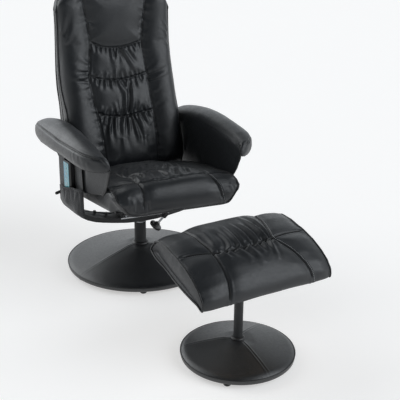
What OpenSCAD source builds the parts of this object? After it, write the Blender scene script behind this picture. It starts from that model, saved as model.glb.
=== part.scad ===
// Reclining massage armchair with matching footstool, all sizes in millimetres.
// +Z up, +X to the viewer's right when facing the chair, the chair faces -Y.
// Origin on the floor, centre of the footprint of chair and footstool together.

/* [Layout] */
// Distance of the chair column behind the origin
chair_y = 297; // [290:1:305]
// Distance of the footstool column in front of the origin
stool_y = 454; // [450:1:480]
// Sideways offset of the footstool column
stool_x = 49; // [0:1:60]
// Angle by which the footstool is turned
stool_turn = 7.4; // [0:0.2:12]

/* [Chair base] */
// Diameter of the covered base dish
base_d = 550; // [500:5:600]
// Height of the middle of the base dish
base_h = 88; // [80:1:96]
// Outside diameter of the column
column_d = 44; // [40:1:50]
// Diameter of the swivel spindle
spindle_d = 28; // [24:1:30]
// Radial running clearance of the swivel
run_clear = 0.05; // [0.02:0.01:0.1]

/* [Arm frame] */
// Thickness of the bent band
band_t = 18; // [14:1:20]
// Depth of the bent band, front to back
band_w = 72; // [60:1:80]

/* [Seat] */
// Backward slope of the seat
seat_tilt = 10.8; // [8:0.2:12]
// Half of the seat cushion's width
seat_half = 223; // [215:1:223]
// Thickness of the seat cushion
seat_t = 108; // [100:1:112]

/* [Arms] */
// Inner face of the arms, from the middle
arm_in = 224; // [224:1:228]
// Thickness of the lower arm body
arm_body_t = 61; // [56:1:64]
// Outer edge of the arm pads, from the middle
arm_out = 339; // [330:1:342]

/* [Back] */
// Half of the back's width
back_half = 219; // [210:1:220]
// Diameter of the recline hinge pins
hinge_pin_d = 10; // [8:1:12]

/* [Footstool] */
// Diameter of the footstool base dish
stool_base_d = 348; // [330:2:360]
// Half of the footstool cushion's width
stool_half = 216; // [200:1:220]
// Slope of the footstool top
stool_tilt = 14.4; // [10:0.2:16]

/* [Hidden] */
$fn = 64;
leather = "#2a2d30";
vinyl = "#1f2225";
steel = "#141517";
plastic = "#18191b";

column_r = column_d/2;
sp_r = spindle_d/2;
band_y0 = -22;
band_y1 = band_y0 + band_w;
column_top = 176;
seat_z0 = 296;
slope = tan(seat_tilt);
hinge_y = 118;
hinge_z = 322;
pin_r = hinge_pin_d/2;

// outer line of the bent band, right half, from the middle outwards
band_half = [[0, 179], [60, 182], [110, 189], [150, 196], [180, 203], [208, 214], [232, 229],
  [252, 249], [266, 272], [274, 298], [276, 330], [276, 486]];
function unit(v) = v/norm(v);
function side(p, i) = let(n = len(p), a = p[max(i-1, 0)], b = p[min(i+1, n-1)], d = unit(b-a)) [-d[1], d[0]];
function inset(p, t) = [for (i = [0:len(p)-1]) p[i] + t*side(p, i)];
function flipx(p) = [for (i = [len(p)-1:-1:0]) [-p[i][0], p[i][1]]];
band_line = concat(flipx(band_half), [for (i = [1:len(band_half)-1]) band_half[i]]);

module chair() { translate([0, chair_y, 0]) children(); }
module stool() { translate([stool_x, -stool_y, 0]) rotate([0, 0, stool_turn]) children(); }
module yz(x0, x1) { translate([x0, 0, 0]) rotate([90, 0, 90]) linear_extrude(x1-x0) children(); }
module xz(y0, y1) { translate([0, y1, 0]) rotate([90, 0, 0]) linear_extrude(y1-y0) children(); }
module seat_space() { translate([0, 0, seat_z0]) rotate([-seat_tilt, 0, 0]) children(); }
module both() { children(); mirror([1, 0, 0]) children(); }
module aim(d) { rotate([0, acos(d[2]/norm(d)), atan2(d[1], d[0])]) children(); }
module bar(a, b, r) { translate(a) aim(b-a) cylinder(r = r, h = norm(b-a)); }
module dome(r, h) { translate([0, 0, 0]) rotate_extrude() intersection() { translate([0, h-(r*r+h*h)/(2*h)]) circle(r = (r*r+h*h)/(2*h), $fn = 128); square([r, h]); } }

// ---------------------------------------------------------------- chair base
function dish(rr, hh, t) = [[0, hh-t], [rr*0.108, hh-t], [rr*0.19, hh-t-3], [rr*0.44, hh*0.765-t], [rr*0.73, hh*0.54-t],
  [rr*0.955, hh*0.375-t], [rr-t, 26]];
module base_core() {
  color("#6b5640") chair() difference() {
    rotate_extrude($fn = 96) polygon(concat(dish(base_d/2, base_h, 4), [[base_d/2-4, 16], [0, 16]]));
    translate([0, 0, 15]) cylinder(r = 62, h = 6.02);
    translate([0, 0, 14]) cylinder(r = column_r+0.1, h = 100);
  }
}
module base_cover() {
  R = base_d/2;
  color(vinyl) chair() difference() {
    rotate_extrude($fn = 96) polygon([[column_r+0.4, base_h-3.9], [column_r+0.4, base_h-1], [R*0.19, base_h-3.2], [R*0.44, base_h*0.765],
      [R*0.73, base_h*0.54], [R*0.955, base_h*0.375], [R-1, 27], [R, 23], [R, 15], [R-3, 12], [R-18, 12], [R-18, 15.9], [R-3.9, 15.9], [R-3.9, 26],
      [R*0.955, base_h*0.375-3.9], [R*0.73, base_h*0.54-3.9], [R*0.44, base_h*0.765-3.9], [R*0.19, base_h-6.9], [R*0.108, base_h-3.9]]);
    for (i = [0:2]) rotate([0, 0, 78+120*i]) translate([34, -0.4, -1]) cube([R, 0.8, 12.9]);
  }
}
module base_floor_plate() {
  color("#303030") chair() difference() {
    translate([0, 0, 10]) cylinder(r = base_d/2-18.1, h = 6, $fn = 96);
    for (i = [0:5]) rotate([0, 0, 12.9+60*i]) translate([base_d/2-23.2, 0, 9]) cylinder(r = 4, h = 8);
    for (i = [0:3]) rotate([0, 0, 45+90*i]) translate([48, 0, 9]) cylinder(r = 4.1, h = 8);
  }
}
module base_glides() {
  color(plastic) chair() for (i = [0:5]) rotate([0, 0, 12.9+60*i]) translate([base_d/2-23.2, 0, 0]) {
    rotate_extrude() polygon([[0, 0], [9.5, 0], [12, 2.5], [12, 8], [10, 9.95], [3.9, 9.95], [3.9, 15], [0, 15]]);
  }
}
module base_collar() {
  color(plastic) chair() rotate_extrude() polygon([[column_r+0.3, base_h-0.9], [30, base_h-1.2], [31, base_h+1], [29, base_h+4.5], [25, base_h+6.5], [column_r+0.3, base_h+6.5]]);
}
module column_tube() {
  color(steel) chair() difference() {
    union() {
      translate([0, 0, 16.1]) cylinder(r = 60, h = 4.9);
      translate([0, 0, 16.1]) cylinder(r = column_r, h = column_top-2-16.1);
    }
    translate([0, 0, 15]) cylinder(r = column_r-3, h = 200);
    for (i = [0:3]) rotate([0, 0, 45+90*i]) translate([48, 0, 9]) cylinder(r = 4.1, h = 18);
  }
}
module column_foot_bolts() {
  color("#55585c") chair() for (i = [0:3]) rotate([0, 0, 45+90*i]) translate([48, 0, 0]) {
    translate([0, 0, 10.1]) cylinder(r = 4, h = 10.8);
    translate([0, 0, 4.8]) cylinder(r = 7.5, h = 5.15);
  }
}
module bush(z0, h) {
  color("#d8d4c8") chair() difference() {
    translate([0, 0, z0]) cylinder(r = column_r-3.05, h = h);
    translate([0, 0, z0-1]) cylinder(r = sp_r+run_clear, h = h+2);
  }
}
module column_bush_lower() { bush(34, 26); }
module column_bush_upper() { bush(142, 30); }
module thrust_washer() {
  color("#8d9094") chair() difference() {
    translate([0, 0, column_top-1.9]) cylinder(r = column_r-1, h = 2.4);
    translate([0, 0, column_top-3]) cylinder(r = sp_r+0.4, h = 5);
  }
}

// ---------------------------------------------------------------- swivel, arm frame and seat
module swivel_spindle() {
  color("#7c7f83") chair() union() {
    translate([0, 0, 30]) cylinder(r = sp_r, h = 200-30);
    translate([-80, band_y0+2, 197.05]) cube([160, band_w-4, 6]);
  }
}
module spindle_plate_bolts() {
  color("#55585c") chair() for (x = [-58, 58], y = [band_y0+14, band_y1-14]) translate([x, y, 0]) {
    translate([0, 0, 203.1]) cylinder(r = 6.5, h = 5);
  }
}
module arm_frame() {
  color(steel) chair() difference() {
    xz(band_y0, band_y1) polygon(concat(band_line, [for (i = [len(band_line)-1:-1:0]) inset(band_line, band_t)[i]]));
    translate([0, 0, 150]) cylinder(r = sp_r+0.3, h = 60);
    both() for (z = [430, 468]) translate([250, 14, z]) rotate([0, 90, 0]) cylinder(r = 4.1, h = 40);
    translate([-82, band_y0-1, 197]) cube([164, band_w+2, 10]);
  }
}
// side plates and cross plate between the arm frame and the seat frame
module tilt_bracket() {
  color(steel) chair() union() {
    difference() {
      both() yz(76, 80) polygon([[band_y0+4, 203.1], [band_y1-4, 203.1], [92, 244], [92, seat_z0-slope*92-0.3], [-178, seat_z0+slope*178-0.3], [-178, 306], [-120, 266], [-40, 230]]);
      translate([-84, 17.3, 223.2]) rotate([0, 90, 0]) cylinder(r = 4.2, h = 12);
    }
    xz(-164, -160) polygon([[-76, 318], [76, 318], [76, 294], [-76, 294]]);
    xz(70, 74) polygon([[-76, 268], [76, 268], [76, 240], [-76, 240]]);
    difference() {
      union() {
        // tension boss carried in front of the band on a gusset
        translate([80, -55, 205]) aim([0.588, -0.265, 0.765]) translate([0, 0, -9]) cylinder(r = 9, h = 24);
        yz(80, 86) polygon([[band_y0-0.3, 206], [band_y0-0.3, 232], [-62, 232], [-66, 210], [-50, 200]]);
      }
      translate([80, -55, 205]) aim([0.588, -0.265, 0.765]) translate([0, 0, -12]) cylinder(r = 4.06, h = 32);
    }
  }
}
fr_w = 205;
module seat_frame() {
  color(steel) chair() seat_space() {
    for (y = [-372, 32]) translate([-fr_w, y, 3]) cube([2*fr_w, 22, 20]);
    both() translate([fr_w-22, -349.9, 3]) cube([22, 381.8, 20]);
    for (x = [-80, 76]) translate([x, -349.9, 3]) cube([4, 381.8, 16]);
  }
}
module zigzag(n, p, w) {
  for (i = [0:n-1]) translate([(i%2 == 0 ? 1 : -1)*w, i*p, 0]) rotate([0, 0, i%2 == 0 ? -90 : 90]) rotate_extrude(angle = 180) translate([p/2, 0]) circle(r = 1.7, $fn = 16);
  for (i = [0:n]) translate([-w, (i-0.5)*p, 0]) rotate([0, 90, 0]) cylinder(r = 1.7, h = 2*w, $fn = 16);
}
module seat_springs() {
  color("#6e7276") chair() seat_space() for (x = [-145, -40, 40, 145]) translate([x, -338, 25.2]) zigzag(12, 29, 14);
}
module seat_profile() {
  polygon([[-414, 0], [-425, 14], [-430, 44], [-425, 70], [-410, 90], [-384, 102], [-330, seat_t], [-180, seat_t+2], [0, seat_t-3], [50, seat_t-8], [62, seat_t-20], [64, 0]]);
}
module seat_cushion() {
  color(leather) chair() seat_space() difference() {
    intersection() {
      yz(-seat_half, seat_half) seat_profile();
      xz(-440, 80) polygon([[-seat_half, -1], [seat_half, -1], [seat_half, 80], [seat_half-30, 90], [152, 99], [100, 106], [50, 111], [-50, 111], [-100, 106], [-152, 99], [-seat_half+30, 90], [-seat_half, 80]]);
      translate([0, 0, -1]) linear_extrude(140) polygon([[-seat_half, 70], [seat_half, 70], [seat_half, -385], [seat_half-6, -410], [seat_half-23, -425], [seat_half-90, -431], [-seat_half+90, -431], [-seat_half+23, -425], [-seat_half+6, -410], [-seat_half, -385]]);
    }
    translate([-fr_w-0.5, -376, -1]) cube([2*fr_w+1, 446, 30]);
  }
}
module seat_dust_cover() {
  color("#111214") chair() seat_space() translate([-fr_w, -375.5, 0.3]) cube([2*fr_w, 428.8, 2.4]);
}

// ---------------------------------------------------------------- arms
pad_bottom = [[256, 479], [110, 487], [0, 495], [-158, 500], [-239, 503], [-352, 504]];
module arm_body_shape() {
  hull() {
    yz(arm_in, arm_in+2) polygon([[37, 341], [-295, 404], [-328, 432], [-354, 460], [-370, 488], [-370, 503.4], [-239, 502.4], [-158, 499.2], [0, 494.4], [110, 486.4], [155, 483.9], [155, 336]]);
    yz(arm_in, arm_in+12) polygon([[140, 338], [155, 336], [155, 483.9], [140, 484.6]]);
    yz(arm_in+arm_body_t-16, arm_in+arm_body_t-14) polygon([[-218, 390], [-232, 430], [-254, 470], [-268, 502.6], [-158, 499.2], [-60, 494]]);
    yz(arm_in+arm_body_t-2, arm_in+arm_body_t) polygon([[37, 341], [26, 343], [26, 492], [37, 491.4]]);
  }
}
module arm_body_half() {
  difference() {
    arm_body_shape();
    translate([276-band_t-0.2, band_y0-0.2, 330]) cube([band_t+0.4, band_w+0.4, 157.5]);
    for (z = [430, 468]) translate([arm_in+8, 14, z]) rotate([0, 90, 0]) cylinder(r = 4.2, h = 60);
    for (z = [430, 468]) translate([arm_in+8, 14, z]) rotate([0, 90, 0]) cylinder(r = 8, h = 12);
  }
}
module arm_body_left() { color(leather) chair() arm_body_half(); }
module arm_body_right() { color(leather) chair() mirror([1, 0, 0]) arm_body_half(); }
module arm_pad_half() {
  o = arm_out;
  intersection() {
    yz(arm_in, arm_out) polygon(concat(pad_bottom, [[-372, 505], [-382, 522], [-379, 540], [-366, 554], [-340, 563], [-290, 570], [-200, 574], [-100, 576], [0, 574], [110, 566], [200, 550], [245, 535], [258, 515]]));
    translate([0, 0, 400]) linear_extrude(300) polygon([[arm_in, -385], [arm_in+16, -384], [o-81, -370], [o-61, -352], [o-43, -324], [o-33, -288], [o-26, -240], [o-17, -158], [o-8, -80], [o-3, 0], [o, 60], [o, 120], [o-3, 198], [o-13, 226], [o-30, 246], [o-60, 258], [arm_in, 258]]);
  }
}
module arm_pad_left() { color(leather) chair() arm_pad_half(); }
module arm_pad_right() { color(leather) chair() mirror([1, 0, 0]) arm_pad_half(); }
module arm_bolts() {
  color("#55585c") chair() both() for (z = [430, 468]) translate([0, 14, z]) rotate([0, 90, 0]) {
    translate([0, 0, arm_in+13]) cylinder(r = 6.5, h = 6.9);
    translate([0, 0, arm_in+13]) cylinder(r = 4, h = 42);
  }
}

// remote control: place, turn and size
rc_p = [-293.5, -132, 346];
rc_turn = 10;
rc_w = 50;
rc_t = 22;
rc_h = 140;
module at_remote() { chair() translate(rc_p) rotate([0, 0, rc_turn+180]) children(); }
module at_remote_c() { translate(rc_p) rotate([0, 0, rc_turn+180]) children(); }

pocket_x = arm_in+arm_body_t+1;
pocket_turn = 3.2;
module pocket_space() { translate([-pocket_x, 37, 0]) rotate([0, 0, pocket_turn]) mirror([1, 0, 0]) children(); }
module side_pocket() {
  bag = [[0, 287], [-64, 287], [-261, 306], [-267, 378], [-268, 410], [-215, 403], [-115, 380], [-6, 344], [0, 344]];
  hollow = [[-5, 292], [-64, 292], [-256, 310], [-262, 378], [-262, 470], [-5, 470]];
  color(vinyl) chair() difference() {
    union() {
      intersection() {
        pocket_space() yz(0.6, 18) polygon(bag);
        translate([0, 0, 250]) linear_extrude(200) pocket_space() polygon([[-1, 1], [3, 0], [14, -56], [18, -90], [18, -240], [8, -269], [-1, -269]]);
      }
      pocket_space() yz(0.6, 3.6) polygon([[0, 300], [-264, 314], [-268, 420], [-268, 488], [0, 480]]);
      intersection() {
        at_remote_c() translate([-rc_t/2-5, -rc_w/2-5, -14]) cube([rc_t+10, rc_w+10, 66]);
        pocket_space() translate([0.6, -260, 300]) cube([60, 240, 200]);
      }
    }
    pocket_space() intersection() {
      yz(3.1, 15.5) polygon(hollow);
      translate([0, 0, 250]) linear_extrude(260) polygon([[-1, -50], [10, -56], [15.5, -92], [15.5, -236], [6, -262], [-1, -262]]);
    }
    at_remote_c() translate([-rc_t/2-1.5, -rc_w/2-1.5, -10.5]) cube([rc_t+3, rc_w+3, 200]);
    translate([-pocket_x-4, -40, 316]) rotate([0, 90, 0]) cylinder(r = 3.2, h = 16);
    translate([-0.2, 0, 0]) mirror([1, 0, 0]) arm_body_shape();
  }
}
module hinge_plates() {
  color(steel) chair() both() difference() {
    yz(199, 203) polygon([[51.5, 276], [57.7, 308.3], [69.5, 311.2], [84, 330], [108, 338], [130, 336], [136, 320], [126, 306], [96, 294], [80, 272]]);
    translate([150, hinge_y, hinge_z]) rotate([0, 90, 0]) cylinder(r = pin_r, h = 100);
  }
}
module hinge_pins() {
  color("#7c7f83") chair() both() translate([0, hinge_y, hinge_z]) rotate([0, 90, 0]) {
    translate([0, 0, 190]) cylinder(r = pin_r, h = 13.5);
    translate([0, 0, 203.2]) cylinder(r = pin_r+3, h = 4);
  }
}
module control_box() {
  color(plastic) chair() difference() {
    union() {
      translate([-70, -20, 212]) cube([112, 60, 30]);
      translate([-30, -8, 203.15]) cube([60, 36, 9.5]);
    }
    translate([-20, 41, 226]) rotate([90, 0, 0]) cylinder(r = 2.8, h = 13);
  }
}
// low-voltage lead of the remote, from the pocket's grommet along the band to the control box
lead_path = [[-293, -40, 316], [-284, -40, 316], [-275, -41, 311], [-268, -41, 300], [-262, -39, 286], [-255, -36, 273], [-248, -32, 266.5],
  [-240, -27, 263.5], [-232, -20, 259.5], [-223, -10, 252], [-212, 4, 242], [-198, 15, 234], [-184, 23, 229], [-168, 25, 225.2], [-152, 20, 221], [-136, 14, 217.5],
  [-120, 14, 215.5], [-104, 17, 214], [-92, 17.2, 217.5], [-84, 17.3, 222.4], [-75, 17.3, 223.2], [-70.05, 17.3, 223.2]];
lead_r = 2.1;
function tangent(p, i) = unit(p[min(i+1, len(p)-1)]-p[max(i-1, 0)]);
function ring(p, i, r, n) = let(t = tangent(p, i), u = unit(cross(t, [0, 0, 1]) + [0.001, 0, 0]), v = cross(u, t)) [for (k = [0:n-1]) p[i] + r*(cos(360*k/n)*u + sin(360*k/n)*v)];
module sweep(p, r, n) {
  m = len(p);
  pts = [for (i = [0:m-1]) each ring(p, i, r, n)];
  polyhedron(pts, concat([[for (k = [0:n-1]) k]], [for (i = [0:m-2], k = [0:n-1]) [i*n+k, (i+1)*n+k, (i+1)*n+(k+1)%n, i*n+(k+1)%n]], [[for (k = [n-1:-1:0]) (m-1)*n+k]]), convexity = 6);
}
module remote_lead() { color("#9a9c9e") chair() sweep(lead_path, lead_r, 8); }
module lead_clips() {
  color(plastic) chair() for (c = [[-168, 25, 225.2], [-128, 14, 216.5]]) translate(c) difference() {
    translate([-4, -5.5, -5.3]) cube([8, 11, 10.3]);
    translate([-6, 0, 0]) rotate([0, 90, 0]) cylinder(r = 3.6, h = 12);
  }
}

// ---------------------------------------------------------------- back
back_line = [[90, 352], [92, 392], [104, 432], [126, 495], [150, 563], [173, 628], [195, 690], [216, 748], [236, 806]];
head_line = [[237, 810.5], [244, 850], [250, 880], [256, 915], [262, 950], [269, 980], [281, 1003], [293, 1010]];
function mid_y(z) = 196+0.1626*(z-345);
module back_cushion() {
  color(leather) chair() intersection() {
    yz(-back_half, back_half) polygon(concat(back_line, [[mid_y(806), 806], [mid_y(352)+1, 352]]));
    translate([0, 400, 0]) xz(-400, 0) polygon([[-back_half+20, 340], [back_half-20, 340], [back_half, 380], [back_half, 640], [back_half-4, 810], [-back_half+4, 810], [-back_half, 640], [-back_half, 380]]);
  }
}
module headrest_cushion() {
  color(leather) chair() intersection() {
    yz(-back_half+3, back_half-3) polygon(concat(head_line, [[mid_y(1010), 1010], [mid_y(810.5), 810.5]]));
    translate([0, 400, 0]) xz(-400, 0) polygon([[-back_half+4, 805], [back_half-4, 805], [back_half-5, 930], [back_half-16, 975], [back_half-44, 1004], [back_half-80, 1016], [-back_half+80, 1016], [-back_half+44, 1004], [-back_half+16, 975], [-back_half+5, 930]]);
  }
}
module rear_cover() {
  w = back_half+2;
  color(leather) chair() difference() {
    intersection() {
      yz(-w, w) polygon([[mid_y(352)+2, 352], [mid_y(1012)+2, 1012], [314, 1010], [325, 988], [328, 940], [331, 888], [334, 812], [333, 750], [328, 690], [321, 620], [306, 541], [297, 500], [274, 430], [240, 362], [232, 352]]);
      translate([0, 400, 0]) xz(-400, 0) polygon([[-w+6, 340], [w-6, 340], [w, 384], [w, 640], [w-3, 810], [w-5, 930], [w-16, 975], [w-44, 1002], [w-82, 1014], [-w+82, 1014], [-w+44, 1002], [-w+16, 975], [-w+5, 930], [-w+3, 810], [-w, 640], [-w, 384]]);
    }
    intersection() {
      yz(-w+8, w-8) polygon([[mid_y(340)-20, 340], [mid_y(994)-20, 994], [mid_y(994)+24, 994], [mid_y(700)+29, 700], [mid_y(400)+29, 400], [mid_y(340)+27, 340]]);
      translate([0, 400, 0]) xz(-400, 0) polygon([[-w+15, 330], [w-15, 330], [w-9, 384], [w-9, 640], [w-13, 926], [w-26, 966], [w-52, 990], [w-88, 1003], [-w+88, 1003], [-w+52, 990], [-w+26, 966], [-w+13, 926], [-w+9, 640], [-w+9, 384]]);
    }
  }
}
module at_mid(z) { translate([0, mid_y(z)+14, z]) rotate([-atan(0.1626), 0, 0]) children(); }
module back_frame() {
  bw = 183; r = 10; a = atan(0.1626);
  color(steel) chair() translate([0, mid_y(372)+13.9, 372]) rotate([-a, 0, 0]) union() {
    both() translate([bw, 0, 0]) cylinder(r = r, h = 540);
    translate([-bw, 0, 0]) rotate([0, 90, 0]) cylinder(r = r, h = 2*bw);
    translate([-bw, 0, 310]) rotate([0, 90, 0]) cylinder(r = r-2, h = 2*bw);
    both() translate([bw-60, 0, 540]) rotate([90, 0, 0]) rotate_extrude(angle = 90) translate([60, 0]) circle(r = r);
    translate([-bw+60, 0, 600]) rotate([0, 90, 0]) cylinder(r = r, h = 2*bw-120);
    both() translate([bw, 0, 0]) sphere(r = r);
  }
}
module back_webbing() {
  a = atan(0.1626);
  color("#4a4030") chair() translate([0, mid_y(372)+13.9, 372]) rotate([-a, 0, 0])
    for (z = [50, 115, 180, 245, 370, 433, 494]) translate([-172.5, -1, z]) cube([345, 2, 44]);
}
module recline_arms() {
  color(steel) chair() both() difference() {
    yz(193.2, 198.5) polygon([[104, 314], [112, 306], [128, 307], [205, 330], [218, 345], [224, 370], [232, 420], [214, 420], [209, 372], [201, 350.5], [118, 338], [106, 330]]);
    translate([150, hinge_y, hinge_z]) rotate([0, 90, 0]) cylinder(r = pin_r+run_clear, h = 100);
  }
}

// ---------------------------------------------------------------- recline lever and tension knob
lever_p = [-209, 92, 318];
lever_tip = [-296, 92, 291];
lever_d = unit(lever_tip-lever_p);
module lever_bracket() {
  color(steel) chair() union() {
    for (y = [84, 96.4]) translate([-213, y, 312]) cube([9.95, 3.6, 12]);
    translate(lever_p+[0, -8, 0]) rotate([-90, 0, 0]) cylinder(r = 2.5, h = 16);
  }
}
module lever_rod() {
  color(steel) chair() difference() {
    union() {
      translate(lever_p+[0, -4, 0]) rotate([-90, 0, 0]) cylinder(r = 5.2, h = 8);
      bar(lever_p+4*lever_d, lever_p+56*lever_d, 3.2);
    }
    translate(lever_p+[0, -10, 0]) rotate([-90, 0, 0]) cylinder(r = 2.55, h = 20);
  }
}
module lever_grip() {
  L = norm(lever_tip-lever_p);
  color(plastic) chair() translate(lever_p) aim(lever_d) translate([0, 0, 56.05]) rotate_extrude() polygon([[0, 0], [4.6, 0], [5.4, 3], [5.8, 12], [5.8, L-62], [5, L-58.5], [3, L-56.4], [0, L-56.05]]);
}
knob_d = [0.588, -0.265, 0.765];
knob_p = [80, -55, 205]-56*unit(knob_d);
module tension_knob() {
  color(plastic) chair() translate(knob_p) aim(knob_d) difference() {
    union() {
      rotate_extrude() polygon([[0, -7], [19, -7], [23, -5], [24.5, -1], [24.5, 3], [22, 6.5], [12, 7], [9.5, 9], [8.5, 16], [0, 16]]);
    }
    for (i = [0:7]) rotate([0, 0, 45*i]) translate([29.5, 0, -10]) cylinder(r = 7, h = 30);
    translate([0, 0, 2]) cylinder(r = 4, h = 30);
  }
}
module tension_screw() {
  color("#7c7f83") chair() translate(knob_p) aim(knob_d) translate([0, 0, 2.05]) cylinder(r = 4, h = 70);
}

// ---------------------------------------------------------------- remote control
module remote_body() {
  color(plastic) at_remote() difference() {
    translate([0, 0, 0]) linear_extrude(rc_h) polygon([[rc_t/2-1.5, -rc_w/2+5], [rc_t/2-1.5, rc_w/2-5], [rc_t/2-6, rc_w/2], [-rc_t/2+5, rc_w/2], [-rc_t/2, rc_w/2-5], [-rc_t/2, -rc_w/2+5], [-rc_t/2+5, -rc_w/2], [rc_t/2-6, -rc_w/2]]);
    for (b = [0:4]) translate([rc_t/2-4.6, 0, 60+17*b]) rotate([0, 90, 0]) cylinder(r = 5, h = 10);
    translate([0, 0, -1]) cylinder(r = 3, h = 7);
  }
}
module remote_face() {
  color("#4f9fb8") at_remote() difference() {
    translate([rc_t/2-1.5, -rc_w/2+6, 8]) cube([1.4, rc_w-12, rc_h-14]);
    for (b = [0:4]) translate([rc_t/2-5, 0, 60+17*b]) rotate([0, 90, 0]) cylinder(r = 5, h = 10);
  }
}
module remote_strain_relief() {
  color("#202124") at_remote() rotate_extrude() polygon([[0, -8], [2.2, -8], [2.9, -0.2], [2.95, 5.9], [0, 5.9]]);
}
module button(b) {
  color("#d9dde0") at_remote() translate([rc_t/2-3.4, 0, 60+17*b]) rotate([0, 90, 0]) rotate_extrude() polygon([[0, 0], [4.9, 0], [4.9, 3.5], [4.2, 4.1], [0, 4.3]]);
}
module power_button() { button(4); }
module mode_button() { button(3); }
module back_zone_button() { button(2); }
module seat_zone_button() { button(1); }
module timer_button() { button(0); }

// ---------------------------------------------------------------- footstool
sR = stool_base_d/2;
sh = 68;
module stool_core() {
  color("#6b5640") stool() difference() {
    rotate_extrude($fn = 96) polygon([[0, sh-4], [20, sh-4], [sR*0.3, sh-9], [sR*0.6, 46], [sR*0.94, 31], [sR-4, 24], [sR-4, 15], [0, 15]]);
    translate([0, 0, 14]) cylinder(r = 45, h = 5.02);
    translate([0, 0, 10]) cylinder(r = 14.1, h = 100);
  }
}
module stool_cover() {
  color(vinyl) stool() difference() {
    rotate_extrude($fn = 96) polygon([[14.5, sh-4], [14.5, sh-1], [20, sh-1], [sR*0.3, sh-5.2], [sR*0.6, 49.8], [sR*0.94, 34.8], [sR-1, 26], [sR, 22], [sR, 15], [sR-3, 12], [sR-14, 12], [sR-14, 14.9],
      [sR-3.9, 14.9], [sR-3.9, 24.1], [sR*0.94-0.05, 31.1], [sR*0.6, 46.1], [sR*0.3, sh-8.9], [20, sh-3.9]]);
    for (i = [0:2]) rotate([0, 0, 29.2+120*i]) translate([20, -0.4, -1]) cube([sR, 0.8, 12.9]);
  }
}
module stool_floor_plate() {
  color("#303030") stool() difference() {
    translate([0, 0, 9]) cylinder(r = sR-14.1, h = 5.9, $fn = 96);
    for (i = [0:3]) rotate([0, 0, 46+90*i]) translate([sR-19.2, 0, 8]) cylinder(r = 4, h = 8);
    for (i = [0:2]) rotate([0, 0, 60+120*i]) translate([34, 0, 8]) cylinder(r = 3.1, h = 8);
  }
}
module stool_glides() {
  color(plastic) stool() for (i = [0:3]) rotate([0, 0, 46+90*i]) translate([sR-19.2, 0, 0])
    rotate_extrude() polygon([[0, 0], [8.5, 0], [11, 2.5], [11, 7], [9, 8.95], [3.9, 8.95], [3.9, 14], [0, 14]]);
}
module stool_collar() {
  color(plastic) stool() rotate_extrude() polygon([[14.4, sh-0.9], [20, sh-0.9], [21, sh+1], [19, sh+4.5], [16.5, sh+6], [14.4, sh+6]]);
}
module stool_column() {
  color(steel) stool() difference() {
    union() {
      translate([0, 0, 15]) cylinder(r = 44, h = 3.9);
      translate([0, 0, 15]) cylinder(r = 14, h = 283);
    }
    translate([0, 0, 14]) cylinder(r = 11.5, h = 290);
    for (i = [0:2]) rotate([0, 0, 60+120*i]) translate([34, 0, 8]) cylinder(r = 3.1, h = 18);
  }
}
module stool_space() { translate([0, 0, 322]) rotate([stool_tilt, 0, 0]) children(); }
module stool_bracket() {
  color(steel) stool() difference() {
    union() {
      stool_space() translate([-65, -60, -4.3]) cube([130, 120, 4]);
      difference() {
        translate([0, 0, 262]) cylinder(r = 18, h = 70);
        stool_space() translate([-100, -100, -2]) cube([200, 200, 60]);
      }
      difference() {
        union() { yz(-2, 2) polygon([[17, 268], [17, 330], [52, 334]]); yz(-2, 2) polygon([[-17, 268], [-17, 322], [-52, 306]]); }
        stool_space() translate([-100, -100, -2]) cube([200, 200, 60]);
      }
    }
    translate([0, 0, 200]) cylinder(r = 14.05, h = 98.2);
    stool_space() for (x = [-50, 50], y = [-45, 45]) translate([x, y, -20]) cylinder(r = 3.3, h = 40);
  }
}
module stool_board() {
  color("#a08560") stool() stool_space() difference() {
    translate([-stool_half+24, -138, 0]) cube([2*stool_half-48, 252, 12]);
    for (x = [-50, 50], y = [-45, 45]) translate([x, y, -2]) cylinder(r = 3.1, h = 20);
  }
}
module stool_cushion() {
  color(leather) stool() stool_space() difference() {
    intersection() {
      yz(-stool_half, stool_half) polygon([[-158, 0], [-160, 16], [-148, 38], [-126, 58], [-92, 74], [-46, 86], [8, 90], [66, 85], [112, 70], [134, 50], [140, 26], [136, 0]]);
      xz(-200, 200) polygon([[-stool_half, -1], [stool_half, -1], [stool_half, 60], [stool_half-12, 66], [162, 77], [110, 85], [60, 91], [-60, 91], [-110, 85], [-162, 77], [-stool_half+12, 66], [-stool_half, 60]]);
      linear_extrude(200, center = true) polygon([[-stool_half+12, -161], [stool_half-12, -161], [stool_half, -140], [stool_half, 118], [stool_half-20, 141], [-stool_half+20, 141], [-stool_half, 118], [-stool_half, -140]]);
    }
    translate([-stool_half+23.7, -138.3, -1]) cube([2*stool_half-47.4, 252.6, 13.3]);
  }
}
module stool_screws() {
  color("#55585c") stool() {
    for (i = [0:2]) rotate([0, 0, 60+120*i]) translate([34, 0, 0]) { translate([0, 0, 9]) cylinder(r = 3, h = 9.8); translate([0, 0, 4.9]) cylinder(r = 6, h = 4.05); }
    stool_space() for (x = [-50, 50], y = [-45, 45]) translate([x, y, 0]) { translate([0, 0, -4.4]) cylinder(r = 3, h = 15); translate([0, 0, -8.4]) cylinder(r = 6, h = 4); }
  }
}

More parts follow.
